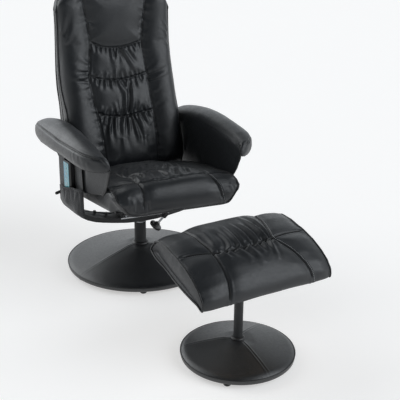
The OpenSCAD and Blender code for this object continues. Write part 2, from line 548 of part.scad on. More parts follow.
base_core();
base_cover();
base_floor_plate();
base_glides();
base_collar();
column_tube();
column_foot_bolts();
column_bush_lower();
column_bush_upper();
thrust_washer();
swivel_spindle();
spindle_plate_bolts();
arm_frame();
tilt_bracket();
seat_frame();
seat_springs();
seat_cushion();
seat_dust_cover();
arm_body_left();
arm_body_right();
arm_pad_left();
arm_pad_right();
arm_bolts();
side_pocket();
hinge_plates();
hinge_pins();
control_box();
remote_lead();
lead_clips();
back_frame();
back_webbing();
recline_arms();
back_cushion();
headrest_cushion();
rear_cover();
lever_bracket();
lever_rod();
lever_grip();
tension_knob();
tension_screw();
remote_body();
remote_face();
remote_strain_relief();
power_button();
mode_button();
back_zone_button();
seat_zone_button();
timer_button();
stool_core();
stool_cover();
stool_floor_plate();
stool_glides();
stool_collar();
stool_column();
stool_bracket();
stool_board();
stool_cushion();
stool_screws();
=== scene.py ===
import math
import bpy
import bmesh
import numpy as np
from mathutils import Vector, Matrix


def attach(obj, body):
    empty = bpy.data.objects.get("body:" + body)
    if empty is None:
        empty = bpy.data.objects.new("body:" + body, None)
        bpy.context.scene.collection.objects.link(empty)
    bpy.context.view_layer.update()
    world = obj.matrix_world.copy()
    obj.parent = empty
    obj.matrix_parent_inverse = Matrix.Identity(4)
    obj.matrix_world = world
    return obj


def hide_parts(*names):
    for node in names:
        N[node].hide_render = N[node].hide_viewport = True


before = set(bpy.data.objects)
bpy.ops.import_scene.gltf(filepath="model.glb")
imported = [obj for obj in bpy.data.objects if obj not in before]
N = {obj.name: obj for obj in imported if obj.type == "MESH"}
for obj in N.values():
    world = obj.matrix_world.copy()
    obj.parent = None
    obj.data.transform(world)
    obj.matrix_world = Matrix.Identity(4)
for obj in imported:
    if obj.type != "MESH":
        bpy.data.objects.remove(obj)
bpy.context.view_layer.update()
SC = bpy.context.scene
MM = 0.001
CH = np.array([0.0, 297.0, 0.0])          # chair axis in the row frame, mm
ST_A = math.radians(7.4)                   # footstool turn
ST = np.array([49.0, -454.0, 0.0])
RNG = np.random.default_rng(7)


# ------------------------------------------------------------------ node helpers
class Mat:
    """A small wrapper that builds a procedural material on a Principled shader."""

    def __init__(self, name, color, rough, metallic=0.0, spec=0.5, coat=0.0, coat_rough=0.3, sheen=0.0, sheen_rough=0.5):
        self.m = bpy.data.materials.new(name)
        self.m.use_nodes = True
        self.t = self.m.node_tree
        self.n = self.t.nodes
        self.b = self.n["Principled BSDF"]
        self.b.inputs["Base Color"].default_value = (*color, 1)
        self.b.inputs["Roughness"].default_value = rough
        self.b.inputs["Metallic"].default_value = metallic
        self.b.inputs["Specular IOR Level"].default_value = spec
        self.b.inputs["Coat Weight"].default_value = coat
        self.b.inputs["Coat Roughness"].default_value = coat_rough
        self.b.inputs["Sheen Weight"].default_value = sheen
        self.b.inputs["Sheen Roughness"].default_value = sheen_rough
        self.tc = self.n.new("ShaderNodeTexCoord")
        self.normal = None

    def link(self, a, b):
        self.t.links.new(a, b)

    def noise(self, scale, detail=3.0, rough=0.55, dist=0.0, stretch=None):
        nd = self.n.new("ShaderNodeTexNoise")
        nd.inputs["Scale"].default_value = scale
        nd.inputs["Detail"].default_value = detail
        nd.inputs["Roughness"].default_value = rough
        nd.inputs["Distortion"].default_value = dist
        self.coords(nd, stretch)
        return nd.outputs["Fac"]

    def coords(self, nd, stretch=None):
        if stretch is None:
            self.link(self.tc.outputs["Object"], nd.inputs["Vector"])
        else:
            mp = self.n.new("ShaderNodeMapping")
            mp.inputs["Scale"].default_value = stretch
            self.link(self.tc.outputs["Object"], mp.inputs["Vector"])
            self.link(mp.outputs["Vector"], nd.inputs["Vector"])

    def voronoi(self, scale, feature="F1", stretch=None):
        nd = self.n.new("ShaderNodeTexVoronoi")
        nd.feature = feature
        nd.inputs["Scale"].default_value = scale
        self.coords(nd, stretch)
        return nd.outputs["Distance"]

    def ramp(self, fac, stops):
        r = self.n.new("ShaderNodeValToRGB")
        r.color_ramp.elements[0].position, r.color_ramp.elements[1].position = stops[0][0], stops[-1][0]
        r.color_ramp.elements[0].color = (*stops[0][1], 1)
        r.color_ramp.elements[1].color = (*stops[-1][1], 1)
        for p, c in stops[1:-1]:
            e = r.color_ramp.elements.new(p)
            e.color = (*c, 1)
        self.link(fac, r.inputs["Fac"])
        return r.outputs["Color"]

    def map(self, v, a, b, c, d):
        mr = self.n.new("ShaderNodeMapRange")
        for k, x in zip(("From Min", "From Max", "To Min", "To Max"), (a, b, c, d)):
            mr.inputs[k].default_value = x
        self.link(v, mr.inputs["Value"])
        return mr.outputs["Result"]

    def bump(self, height, strength, distance):
        bp = self.n.new("ShaderNodeBump")
        bp.inputs["Strength"].default_value = strength
        bp.inputs["Distance"].default_value = distance
        self.link(height, bp.inputs["Height"])
        if self.normal is not None:
            self.link(self.normal, bp.inputs["Normal"])
        self.normal = bp.outputs["Normal"]
        self.link(self.normal, self.b.inputs["Normal"])
        return self

    def color(self, out):
        self.link(out, self.b.inputs["Base Color"])
        return self

    def rough(self, out):
        self.link(out, self.b.inputs["Roughness"])
        return self


def leather(name, lo, hi, rough=(0.36, 0.5), grain=1.0, coat=0.0, spec=0.5):
    k = Mat(name, hi, 0.45, spec=spec, coat=coat, coat_rough=0.28, sheen=0.04, sheen_rough=0.45)
    broad = k.noise(9.0, 3.0, 0.55)
    k.color(k.ramp(broad, [(0.3, lo), (0.52, tuple((a + b) / 2 for a, b in zip(lo, hi))), (0.72, hi)]))
    fine = k.noise(120.0, 2.0, 0.5)
    k.rough(k.map(fine, 0.3, 0.7, rough[0], rough[1]))
    k.bump(k.voronoi(620.0, "DISTANCE_TO_EDGE"), 0.22 * grain, 0.00035)
    k.bump(k.noise(1500.0, 2.0, 0.6), 0.12 * grain, 0.0003)
    k.bump(k.noise(55.0, 3.0, 0.55, 0.6), 0.16 * grain, 0.0016)
    return k.m


def plastic(name, color, rough=0.42, bump=0.25, scale=900.0):
    k = Mat(name, color, rough, spec=0.5)
    v = k.noise(30.0, 3.0)
    k.color(k.ramp(v, [(0.3, tuple(c * 0.85 for c in color)), (0.7, tuple(min(1, c * 1.12) for c in color))]))
    k.rough(k.map(k.noise(60.0, 3.0), 0.3, 0.7, rough - 0.06, rough + 0.08))
    k.bump(k.noise(scale, 2.0, 0.6), bump, 0.0003)
    return k.m


def metal(name, color, rough=0.35, metallic=1.0, brushed=None):
    k = Mat(name, color, rough, metallic=metallic)
    v = k.noise(40.0, 3.0)
    k.color(k.ramp(v, [(0.3, tuple(c * 0.9 for c in color)), (0.7, tuple(min(1, c * 1.08) for c in color))]))
    k.rough(k.map(k.noise(160.0, 2.0, 0.5, 0.0, brushed), 0.3, 0.7, rough - 0.08, rough + 0.1))
    k.bump(k.noise(700.0, 2.0, 0.5, 0.0, brushed), 0.12, 0.0002)
    return k.m


M = {}
M["leather"] = leather("pu_leather", (0.0066, 0.0080, 0.0098), (0.0106, 0.0124, 0.0148), rough=(0.35, 0.47))
M["leather_base"] = leather("pu_leather_base", (0.0026, 0.0034, 0.0044), (0.0046, 0.0056, 0.0070), rough=(0.36, 0.46), spec=0.85)
M["piping"] = leather("pu_piping", (0.0028, 0.0032, 0.0038), (0.0052, 0.0058, 0.0066), rough=(0.42, 0.52), grain=0.6)
M["plastic"] = plastic("black_moulded_plastic", (0.012, 0.012, 0.013), 0.4)
M["steel_black"] = plastic("powder_coated_steel", (0.010, 0.0108, 0.012), 0.55, 0.2, 1100.0)
M["steel"] = metal("zinc_steel", (0.45, 0.46, 0.48), 0.32, 1.0)
M["bush"] = plastic("pale_bush_plastic", (0.62, 0.60, 0.54), 0.45)
M["under"] = plastic("under_plate", (0.02, 0.02, 0.021), 0.7)


def wood(name):
    k = Mat(name, (0.4, 0.28, 0.17), 0.6)
    g = k.noise(60.0, 4.0, 0.6, 1.2, (1.0, 0.12, 1.0))
    k.color(k.ramp(g, [(0.3, (0.30, 0.20, 0.11)), (0.55, (0.42, 0.30, 0.18)), (0.75, (0.50, 0.38, 0.24))]))
    k.bump(g, 0.3, 0.0005)
    return k.m


def weave(name, color, scale=700.0, rough=0.85):
    k = Mat(name, color, rough, sheen=0.2)
    a = k.n.new("ShaderNodeTexWave"); a.wave_type = "BANDS"; a.bands_direction = "Z"
    b = k.n.new("ShaderNodeTexWave"); b.wave_type = "BANDS"; b.bands_direction = "Y"
    for w in (a, b):
        w.inputs["Scale"].default_value = scale
        k.link(k.tc.outputs["Object"], w.inputs["Vector"])
    m = k.n.new("ShaderNodeMath"); m.operation = "MAXIMUM"
    k.link(a.outputs["Fac"], m.inputs[0]); k.link(b.outputs["Fac"], m.inputs[1])
    k.color(k.ramp(k.noise(26.0, 4.0), [(0.3, tuple(c * 0.75 for c in color)), (0.7, tuple(c * 1.25 for c in color))]))
    k.bump(m.outputs["Value"], 0.35, 0.0004)
    return k.m


M["wood"] = wood("ply_board")
M["pocket"] = weave("pocket_cloth", (0.012, 0.013, 0.015), 480.0)
M["webbing"] = weave("jute_webbing", (0.16, 0.12, 0.07), 300.0)
M["lead"] = plastic("lead_sheath", (0.055, 0.057, 0.06), 0.5)
M["button"] = plastic("key_plastic", (0.30, 0.42, 0.46), 0.35)
# pale grey thread colour is a painted highlight: the real stitching thread is black, and this pale copy is used only on
# the right-hand seams to stand for light caught along their ridges
M["pale_highlight_thread"] = plastic("seam_thread_painted_highlight", (0.26, 0.265, 0.27), 0.6, 0.3, 1800.0)
# near-black seam line, darker than the leather: partly the joining thread, partly painted shade in the seam valleys
M["seam"] = plastic("seam_shadow_thread", (0.0022, 0.0024, 0.0027), 0.6, 0.3, 1800.0)


def panel_mat():
    k = Mat("remote_panel", (0.08, 0.30, 0.38), 0.22, coat=0.5, coat_rough=0.1)
    k.color(k.ramp(k.noise(14.0, 2.0), [(0.35, (0.05, 0.22, 0.34)), (0.65, (0.10, 0.33, 0.36))]))
    k.bump(k.noise(500.0, 1.0), 0.05, 0.0001)
    return k.m


M["panel"] = panel_mat()

CAD_LOOK = {
    "base_core": "wood", "base_floor_plate": "under", "base_glides": "plastic", "base_collar": "plastic",
    "column_tube": "steel_black", "column_foot_bolts": "steel", "column_bush_lower": "bush", "column_bush_upper": "bush",
    "thrust_washer": "steel", "swivel_spindle": "steel", "spindle_plate_bolts": "steel", "arm_frame": "steel_black",
    "tilt_bracket": "steel_black", "seat_frame": "steel_black", "seat_springs": "steel_black", "seat_dust_cover": "under",
    "arm_bolts": "steel", "hinge_plates": "steel_black", "hinge_pins": "steel", "control_box": "plastic",
    "remote_lead": "lead", "lead_clips": "plastic", "lever_bracket": "steel_black", "back_frame": "steel_black",
    "back_webbing": "webbing", "recline_arms": "steel_black", "lever_rod": "under", "lever_grip": "plastic",
    "tension_knob": "plastic", "tension_screw": "steel", "remote_body": "plastic", "remote_face": "panel",
    "remote_strain_relief": "plastic", "power_button": "button", "mode_button": "button", "back_zone_button": "button",
    "seat_zone_button": "button", "timer_button": "button", "stool_core": "wood", "stool_floor_plate": "under",
    "stool_glides": "plastic", "stool_collar": "plastic", "stool_column": "steel_black", "stool_bracket": "steel_black",
    "stool_board": "wood", "stool_screws": "steel",
}
for node, o in N.items():
    look = CAD_LOOK.get(node, "leather")
    o.data.materials.clear()
    o.data.materials.append(M[look])


# ------------------------------------------------------------------ mesh helpers (mm in, metres out)
def to_row(P, where):
    P = np.asarray(P, float)
    if where == "chair":
        P = P + CH
    elif where == "stool":
        c, s = math.cos(ST_A), math.sin(ST_A)
        P = np.stack([P[..., 0] * c - P[..., 1] * s, P[..., 0] * s + P[..., 1] * c, P[..., 2]], -1) + ST
    return P * MM


def make(name, verts, faces, mat, body, where="chair", smooth=True, replaces=()):
    me = bpy.data.meshes.new(name)
    me.from_pydata([tuple(v) for v in to_row(verts, where)], [], [tuple(int(i) for i in f) for f in faces])
    me.validate()
    bm = bmesh.new()
    bm.from_mesh(me)
    bmesh.ops.remove_doubles(bm, verts=bm.verts, dist=1e-5)
    bmesh.ops.recalc_face_normals(bm, faces=bm.faces)
    bm.to_mesh(me)
    bm.free()
    me.materials.append(M[mat])
    if smooth:
        me.polygons.foreach_set("use_smooth", [True] * len(me.polygons))
    o = bpy.data.objects.new(name, me)
    SC.collection.objects.link(o)
    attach(o, body)
    if replaces:
        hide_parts(*replaces)
    return o


def grid_faces(nu, nv, wrap_u=False, wrap_v=False, base=0):
    f = []
    for i in range(nu if wrap_u else nu - 1):
        for j in range(nv if wrap_v else nv - 1):
            a, b = i, (i + 1) % nu
            c, d = j, (j + 1) % nv
            f.append((base + a * nv + c, base + b * nv + c, base + b * nv + d, base + a * nv + d))
    return f


def smooth_path(pts, n, closed=False):
    """Catmull-Rom through pts, resampled to n points of even spacing."""
    p = np.asarray(pts, float)
    m = len(p)
    out = []
    segs = m if closed else m - 1
    for i in range(segs):
        if closed:
            p0, p1, p2, p3 = p[(i - 1) % m], p[i], p[(i + 1) % m], p[(i + 2) % m]
        else:
            p1, p2 = p[i], p[i + 1]
            p0 = p[i - 1] if i > 0 else 2 * p1 - p2
            p3 = p[i + 2] if i + 2 < m else 2 * p2 - p1
        for t in np.linspace(0, 1, 16, endpoint=False):
            out.append(0.5 * (2 * p1 + (p2 - p0) * t + (2 * p0 - 5 * p1 + 4 * p2 - p3) * t * t + (3 * p1 - p0 - 3 * p2 + p3) * t ** 3))
    out.append(p[0] if closed else p[-1])
    out = np.array(out)
    d = np.r_[0, np.cumsum(np.linalg.norm(np.diff(out, axis=0), axis=1))]
    s = np.linspace(0, d[-1], n + 1)[:-1] if closed else np.linspace(0, d[-1], n)
    return np.stack([np.interp(s, d, out[:, k]) for k in range(out.shape[1])], -1)


def tube(name, pts, r, mat, body, where="chair", closed=False, k=10, n=None, flat=1.0):
    p = np.asarray(pts, float)
    length = np.linalg.norm(np.diff(p, axis=0), axis=1).sum()
    n = n or max(8, int(length / 6))
    p = smooth_path(p, n, closed)
    t = np.gradient(p, axis=0)
    if closed:
        t = np.roll(p, -1, 0) - np.roll(p, 1, 0)
    t /= np.linalg.norm(t, axis=1)[:, None] + 1e-12
    u = np.cross(t[0], [0.3, 0.2, 1.0]); u /= np.linalg.norm(u)
    rings = []
    for i in range(len(p)):
        u = u - t[i] * (u @ t[i]); u /= np.linalg.norm(u)
        v = np.cross(t[i], u)
        a = np.linspace(0, 2 * math.pi, k, endpoint=False)
        rings.append(p[i] + r * (np.cos(a)[:, None] * u + flat * np.sin(a)[:, None] * v))
    V = np.concatenate(rings)
    F = grid_faces(len(p), k, wrap_u=closed, wrap_v=True)
    if not closed:
        F.append(tuple(range(k))[::-1])
        F.append(tuple((len(p) - 1) * k + q for q in range(k)))
    return make(name, V, F, mat, body, where)


def smoothstep(a, b, x):
    t = np.clip((x - a) / (b - a), 0, 1)
    return t * t * (3 - 2 * t)


# ------------------------------------------------------------------ soft goods: shared tools
def near(P, path):
    """Distance from each point to a polyline, and the arc length of the nearest place on it."""
    path = np.asarray(path, float)
    best, arc, s0 = np.full(len(P), 1e9), np.zeros(len(P)), 0.0
    for a, b in zip(path[:-1], path[1:]):
        ab = b - a
        l2 = ab @ ab + 1e-12
        t = np.clip((P - a) @ ab / l2, 0, 1)
        d = np.linalg.norm(P - a - t[:, None] * ab, axis=1)
        m = d < best
        best[m] = d[m]
        arc[m] = s0 + t[m] * math.sqrt(l2)
        s0 += math.sqrt(l2)
    return best, arc


def nearest_seam(P, paths):
    return np.min([near(P, p)[0] for p in paths], axis=0)


def puff(d, depth, reach, p=2.2):
    return depth * (1 - (1 - np.clip(d / reach, 0, 1)) ** p)


def seam_relief(d, w=2.3, depth=2.0, lip=0.8):
    return -depth * np.exp(-(d / w) ** 2) + lip * np.exp(-((d - 2.6 * w) / (1.3 * w)) ** 2)


def strokes(u, v, items):
    """Tapered folds in a piece's own (u, v) plane: strong at the first end, fading to the second."""
    h = np.zeros_like(u)
    for u0, v0, u1, v1, w, a in items:
        du, dv = u1 - u0, v1 - v0
        l2 = du * du + dv * dv
        t = ((u - u0) * du + (v - v0) * dv) / l2
        tc = np.clip(t, 0, 1)
        d = np.hypot(u - u0 - tc * du, v - v0 - tc * dv)
        near_m = d < 5 * w
        t, tc, d = t[near_m], tc[near_m], d[near_m]
        ww = w * (0.7 + 0.8 * tc)
        env = (1 - tc) ** 0.75 * np.exp(-(np.maximum(0, -t) * math.sqrt(l2) / 2.5) ** 2)
        h[near_m] += a * env * (np.exp(-(d / ww) ** 2) - 0.45 * np.exp(-((d - 1.9 * ww) / ww) ** 2))
    return h


def pleats(path, side, gap, length, amp, seed, width=4.5, slant=0.25):
    """Small seeded gathers that start on a seam (a 2-D path) and run off to one side of it."""
    rng = np.random.default_rng(seed)
    path = np.asarray(path, float)
    d = np.r_[0, np.cumsum(np.linalg.norm(np.diff(path, axis=0), axis=1))]
    out, s = [], gap * rng.uniform(0.3, 1.0)
    k = 1
    while s < d[-1] - 2:
        p = np.array([np.interp(s, d, path[:, 0]), np.interp(s, d, path[:, 1])])
        q = np.array([np.interp(s + 1, d, path[:, 0]), np.interp(s + 1, d, path[:, 1])])
        t = (q - p) / (np.linalg.norm(q - p) + 1e-9)
        n = np.array([-t[1], t[0]]) * side
        L = length * rng.uniform(0.55, 1.25)
        e = p + n * L + t * L * rng.uniform(-slant, slant)
        out.append((p[0], p[1], e[0], e[1], width * rng.uniform(0.75, 1.25), k * amp * rng.uniform(0.6, 1.2)))
        k = -k if rng.uniform() < 0.75 else k
        s += gap * rng.uniform(0.6, 1.4)
    return out


def creases(u, v, items):
    """Folds along drawn lines (points, width, height, strong_start); the ends taper off."""
    h = np.zeros_like(u)
    for pts, w, a, strong in items:
        path = smooth_path(np.array(pts, float), 8 * len(pts)) if len(pts) > 2 else np.array(pts, float)
        m = (u > path[:, 0].min() - 4 * w) & (u < path[:, 0].max() + 4 * w) & (v > path[:, 1].min() - 4 * w) & (v < path[:, 1].max() + 4 * w)
        d, arc = near(np.stack([u[m], v[m]], -1), path)
        L = np.linalg.norm(np.diff(path, axis=0), axis=1).sum()
        t = arc / L
        env = np.clip(1 - t, 0, 1) ** 0.7 if strong else smoothstep(-0.02, 0.22, t) * smoothstep(1.02, 0.68, t)
        h[m] += a * env * (np.exp(-(d / w) ** 2) - 0.42 * np.exp(-((d - 2.0 * w) / (1.1 * w)) ** 2))
    return h


def snap(path, V, lift=0.0, span=9):
    """Lay a drawn line on to the finished cover, smoothly."""
    path = np.asarray(path, float)
    delta = np.array([V[np.argmin(((V - p) ** 2).sum(1))] - p for p in path])
    k = np.ones(span) / span
    pad = span // 2
    D = np.stack([np.convolve(np.pad(delta[:, c], pad, mode="edge"), k, mode="valid") for c in range(3)], -1)
    out = path + D
    if lift:
        c = out.mean(0)
        o = out - c
        o[:, 0] = 0
        out = out + lift * o / (np.linalg.norm(o, axis=1)[:, None] + 1e-9)
    return out


def seam_lines(name, paths, V, body, where="chair", r=1.15, place=None, lift=0.0, span=17):
    """The sewn joint of two panels: a dark thread line lying at the bottom of the seam valley; its near-black colour is
    partly the thread and partly painted shade of the valley.
    """
    for i, p in enumerate(paths):
        q = snap(p, V, span=span)
        if place:
            q = place(q)
        q[:, 2] += lift
        tube("%s_%d" % (name, i), q, r, "seam", body, where, k=8, n=max(30, int(np.linalg.norm(np.diff(q, axis=0), axis=1).sum() / 4)))


def waves(P, seed, size, amp, n=9):
    """Broad seeded unevenness, a sum of soft plane waves in metres of the piece's own space."""
    rng = np.random.default_rng(seed)
    h = np.zeros(len(P))
    for _ in range(n):
        k = rng.normal(size=3)
        k *= 2 * math.pi / (size * rng.uniform(0.6, 1.6)) / np.linalg.norm(k)
        h += np.sin(P @ k + rng.uniform(0, 6.28))
    return amp * h / math.sqrt(n)


def normals(V, F):
    n = np.cross(V[F[:, 2]] - V[F[:, 0]], V[F[:, 3]] - V[F[:, 1]])
    out = np.zeros_like(V)
    for k in range(4):
        for c in range(3):
            out[:, c] += np.bincount(F[:, k], weights=n[:, c], minlength=len(V))
    out /= np.linalg.norm(out, axis=1)[:, None] + 1e-12
    c = V[F].mean(1)
    return out if ((c - V.mean(0)) * n).sum() > 0 else -out


def scratch_object(V, F):
    me = bpy.data.meshes.new("scratch")
    me.from_pydata([tuple(v) for v in np.asarray(V) * MM], [], [tuple(int(i) for i in dict.fromkeys(f)) for f in F])
    bm = bmesh.new()
    bm.from_mesh(me)
    bmesh.ops.remove_doubles(bm, verts=bm.verts, dist=2e-5)
    bmesh.ops.recalc_face_normals(bm, faces=bm.faces)
    bm.to_mesh(me)
    bm.free()
    o = bpy.data.objects.new("scratch", me)
    SC.collection.objects.link(o)
    return o


def read_mesh(me):
    V = np.empty(len(me.vertices) * 3)
    me.vertices.foreach_get("co", V)
    return V.reshape(-1, 3) / MM


def drop(o):
    me = o.data
    bpy.data.objects.remove(o)
    bpy.data.meshes.remove(me)


def cloth(V, F, pinned, cap=14.0, pressure=4.0, frames=20, stretch=None, bend=0.6, tension=15.0):
    """Let the cover swell and wrinkle as cloth between its pinned seams; returns welded points and faces."""
    o = scratch_object(V, F)
    me = o.data
    base = read_mesh(me)
    faces = [tuple(p.vertices) for p in me.polygons]
    g = o.vertex_groups.new(name="pin")
    w = pinned(base)
    for level in (1.0, 0.75, 0.5, 0.25):
        idx = np.nonzero((w <= level) & (w > level - 0.25))[0]
        if len(idx):
            g.add([int(i) for i in idx], level, "REPLACE")
    if stretch is not None:
        o.shape_key_add(name="Basis")
        key = o.shape_key_add(name="rest")
        key.data.foreach_set("co", (stretch(base) * MM).ravel())
    md = o.modifiers.new("Cloth", "CLOTH")
    st = md.settings
    if stretch is not None:
        st.rest_shape_key = o.data.shape_keys.key_blocks["rest"]
    st.vertex_group_mass = "pin"
    st.use_pressure = True
    st.uniform_pressure_force = pressure
    st.effector_weights.gravity = 0.0
    st.quality = 5
    st.tension_stiffness = tension
    st.compression_stiffness = tension
    st.shear_stiffness = 5.0
    st.bending_stiffness = bend
    md.collision_settings.use_collision = False
    md.collision_settings.use_self_collision = False
    md.point_cache.frame_start, md.point_cache.frame_end = 1, frames
    for f in range(1, frames + 1):
        SC.frame_set(f)
    ev = o.evaluated_get(bpy.context.evaluated_depsgraph_get())
    got = read_mesh(ev.to_mesh())
    ev.to_mesh_clear()
    move = got - base
    bad = ~np.isfinite(move).all(1)
    move[bad] = 0
    L = np.linalg.norm(move, axis=1)
    k = np.where(L > 1e-9, cap * np.tanh(L / cap) / np.maximum(L, 1e-9), 1.0)
    base = base + move * k[:, None]
    SC.frame_set(1)
    drop(o)
    return base, faces


def subdivide(V, F, levels=1):
    o = scratch_object(V, F)
    md = o.modifiers.new("Subdivision", "SUBSURF")
    md.levels = levels
    md.render_levels = levels
    ev = o.evaluated_get(bpy.context.evaluated_depsgraph_get())
    me = ev.to_mesh()
    V2 = read_mesh(me)
    F2 = np.array([tuple(p.vertices) if len(p.vertices) == 4 else tuple(p.vertices) + (p.vertices[-1],) for p in me.polygons])
    ev.to_mesh_clear()
    drop(o)
    return V2, F2


def pillow(A, B, rings, bulge):
    """A closed form from two matching (ns, nt, 3) sheets; the band between their edges bulges outwards."""
    ns, nt = A.shape[:2]
    ia = np.arange(ns * nt).reshape(ns, nt)
    ib = ia + ns * nt
    F = grid_faces(ns, nt) + [f[::-1] for f in grid_faces(ns, nt, base=ns * nt)]
    loop = [(i, 0) for i in range(ns)] + [(ns - 1, j) for j in range(1, nt)] + [(i, nt - 1) for i in range(ns - 2, -1, -1)] + [(0, j) for j in range(nt - 2, 0, -1)]
    a = np.array([A[i, j] for i, j in loop])
    b = np.array([B[i, j] for i, j in loop])
    mid = (a + b) / 2
    out = mid - mid.mean(0)
    axis = (A.mean((0, 1)) - B.mean((0, 1)))
    axis /= np.linalg.norm(axis)
    t = np.roll(mid, -1, 0) - np.roll(mid, 1, 0)
    nrm = np.cross(t, axis)
    nrm /= np.linalg.norm(nrm, axis=1)[:, None] + 1e-9
    nrm *= np.sign((nrm * out).sum(1))[:, None]
    V = [A.reshape(-1, 3), B.reshape(-1, 3)]
    prev, n0, m = [ia[i, j] for i, j in loop], 2 * ns * nt, len(loop)
    for k in range(1, rings + 1):
        if k == rings:
            cur = [ib[i, j] for i, j in loop]
        else:
            u = k / rings
            V.append(a * (1 - u) + b * u + nrm * (bulge * math.sin(math.pi * u)))
            cur = [n0 + q for q in range(m)]
            n0 += m
        F += [(prev[q], prev[(q + 1) % m], cur[(q + 1) % m], cur[q]) for q in range(m)]
        prev = cur
    return np.concatenate(V), F, a, b


def stitches(name, path, body, where, gap=5.2, length=3.6, r=0.42, mat="pale_highlight_thread"):
    """One row of lock stitches: short raised thread ends that dip into the cover at both ends."""
    path = np.asarray(path, float)
    d = np.r_[0, np.cumsum(np.linalg.norm(np.diff(path, axis=0), axis=1))]
    V, F, n0 = [], [], 0
    for s in np.arange(gap / 2, d[-1] - gap / 2, gap):
        pts = []
        for q, lift in ((-0.5, -0.35), (-0.3, 0.25), (0.0, 0.42), (0.3, 0.25), (0.5, -0.35)):
            pts.append([np.interp(s + q * length, d, path[:, c]) for c in range(3)] + np.array([0, 0, lift * r * 0]))
        pts = np.array(pts)
        t = pts[-1] - pts[0]
        t /= np.linalg.norm(t) + 1e-9
        u = np.cross(t, [0.21, 0.37, 0.9]); u /= np.linalg.norm(u)
        v = np.cross(t, u)
        for i, p in enumerate(pts):
            rad = r * (0.45, 0.95, 1.1, 0.95, 0.45)[i]
            a = np.linspace(0, 2 * math.pi, 6, endpoint=False)
            V.append(p + rad * (np.cos(a)[:, None] * u + np.sin(a)[:, None] * v))
        for i in range(4):
            for k in range(6):
                F.append((n0 + i * 6 + k, n0 + i * 6 + (k + 1) % 6, n0 + (i + 1) * 6 + (k + 1) % 6, n0 + (i + 1) * 6 + k))
        F.append(tuple(n0 + k for k in range(6))[::-1])
        F.append(tuple(n0 + 24 + k for k in range(6)))
        n0 += 30
    if V:
        return make(name, np.concatenate(V), F, mat, body, where)


def finish_soft(name, V, F, mat, body, where, replaces):
    return make(name, V, [tuple(dict.fromkeys(f)) for f in F.tolist()], mat, body, where, replaces=replaces)


# ------------------------------------------------------------------ chair back, front cover
YC = np.array([(345, 92), (392, 93), (436, 105), (500, 128), (563, 151), (628, 173), (690, 195), (748, 216), (808, 236), (850, 245), (880, 250), (915, 255), (945, 260), (975, 267), (1000, 278), (1012, 288)], float)


def yc(z):
    return np.interp(z, YC[:, 0], YC[:, 1])


def mid_y(z):
    return 196 + 0.1626 * (z - 345)


def half_w(z, w=209.0):
    return w - 209.0 + np.interp(z, [340, 352, 384, 575, 640, 700, 760, 810, 860, 938, 1015], [203, 208, 216.5, 217.5, 221.5, 221, 218.5, 216.5, 215.5, 216, 211])


def pipe_y(z):
    """How far back the front piping lies: level with the cushion at both ends, well back in the middle."""
    return np.interp(z, [345, 420, 500, 560, 625, 685, 740, 800, 860, 938, 1012], [104, 112, 142, 170, 212, 238, 253, 262, 263, 267, 292])


def top_z(s, top=1004.0, bend=0.56, drop_=74.0):
    k = np.clip((np.abs(s) - bend) / (1 - bend), 0, 1)
    return top - drop_ * (1 - np.sqrt(np.maximum(0, 1 - k ** 2.0)))


def side_seam(side):
    """Inner vertical seam of the back, (x, z) from bottom to top."""
    L = [(-98, 352), (-100, 469), (-104, 522), (-109, 563), (-117, 628), (-121, 694), (-112, 750), (-103, 813), (-106, 856), (-111, 909), (-117, 951), (-126, 1000)]
    R = [(108, 352), (113, 466), (112, 513), (111, 560), (107, 629), (104, 694), (100, 754), (97, 806), (105, 853), (113, 900), (121, 943), (128, 1000)]
    return np.array(L if side < 0 else R, float)


S563 = np.array([(-109, 564), (-80, 553), (-54, 548), (-31, 545), (9, 545), (58, 552), (111, 560)], float)
S694 = np.array([(-121, 695), (-96, 685), (-63, 677), (-12, 674), (36, 679), (104, 694)], float)
S808 = np.array([(-103, 814), (-91, 806), (-73, 798), (-47, 790), (-9, 788), (31, 791), (66, 800), (97, 808)], float)


def on_back(p2):
    p2 = smooth_path(p2, max(10, int(np.linalg.norm(np.diff(p2, axis=0), axis=1).sum() / 6)))
    return np.stack([p2[:, 0], yc(p2[:, 1]), p2[:, 1]], -1)


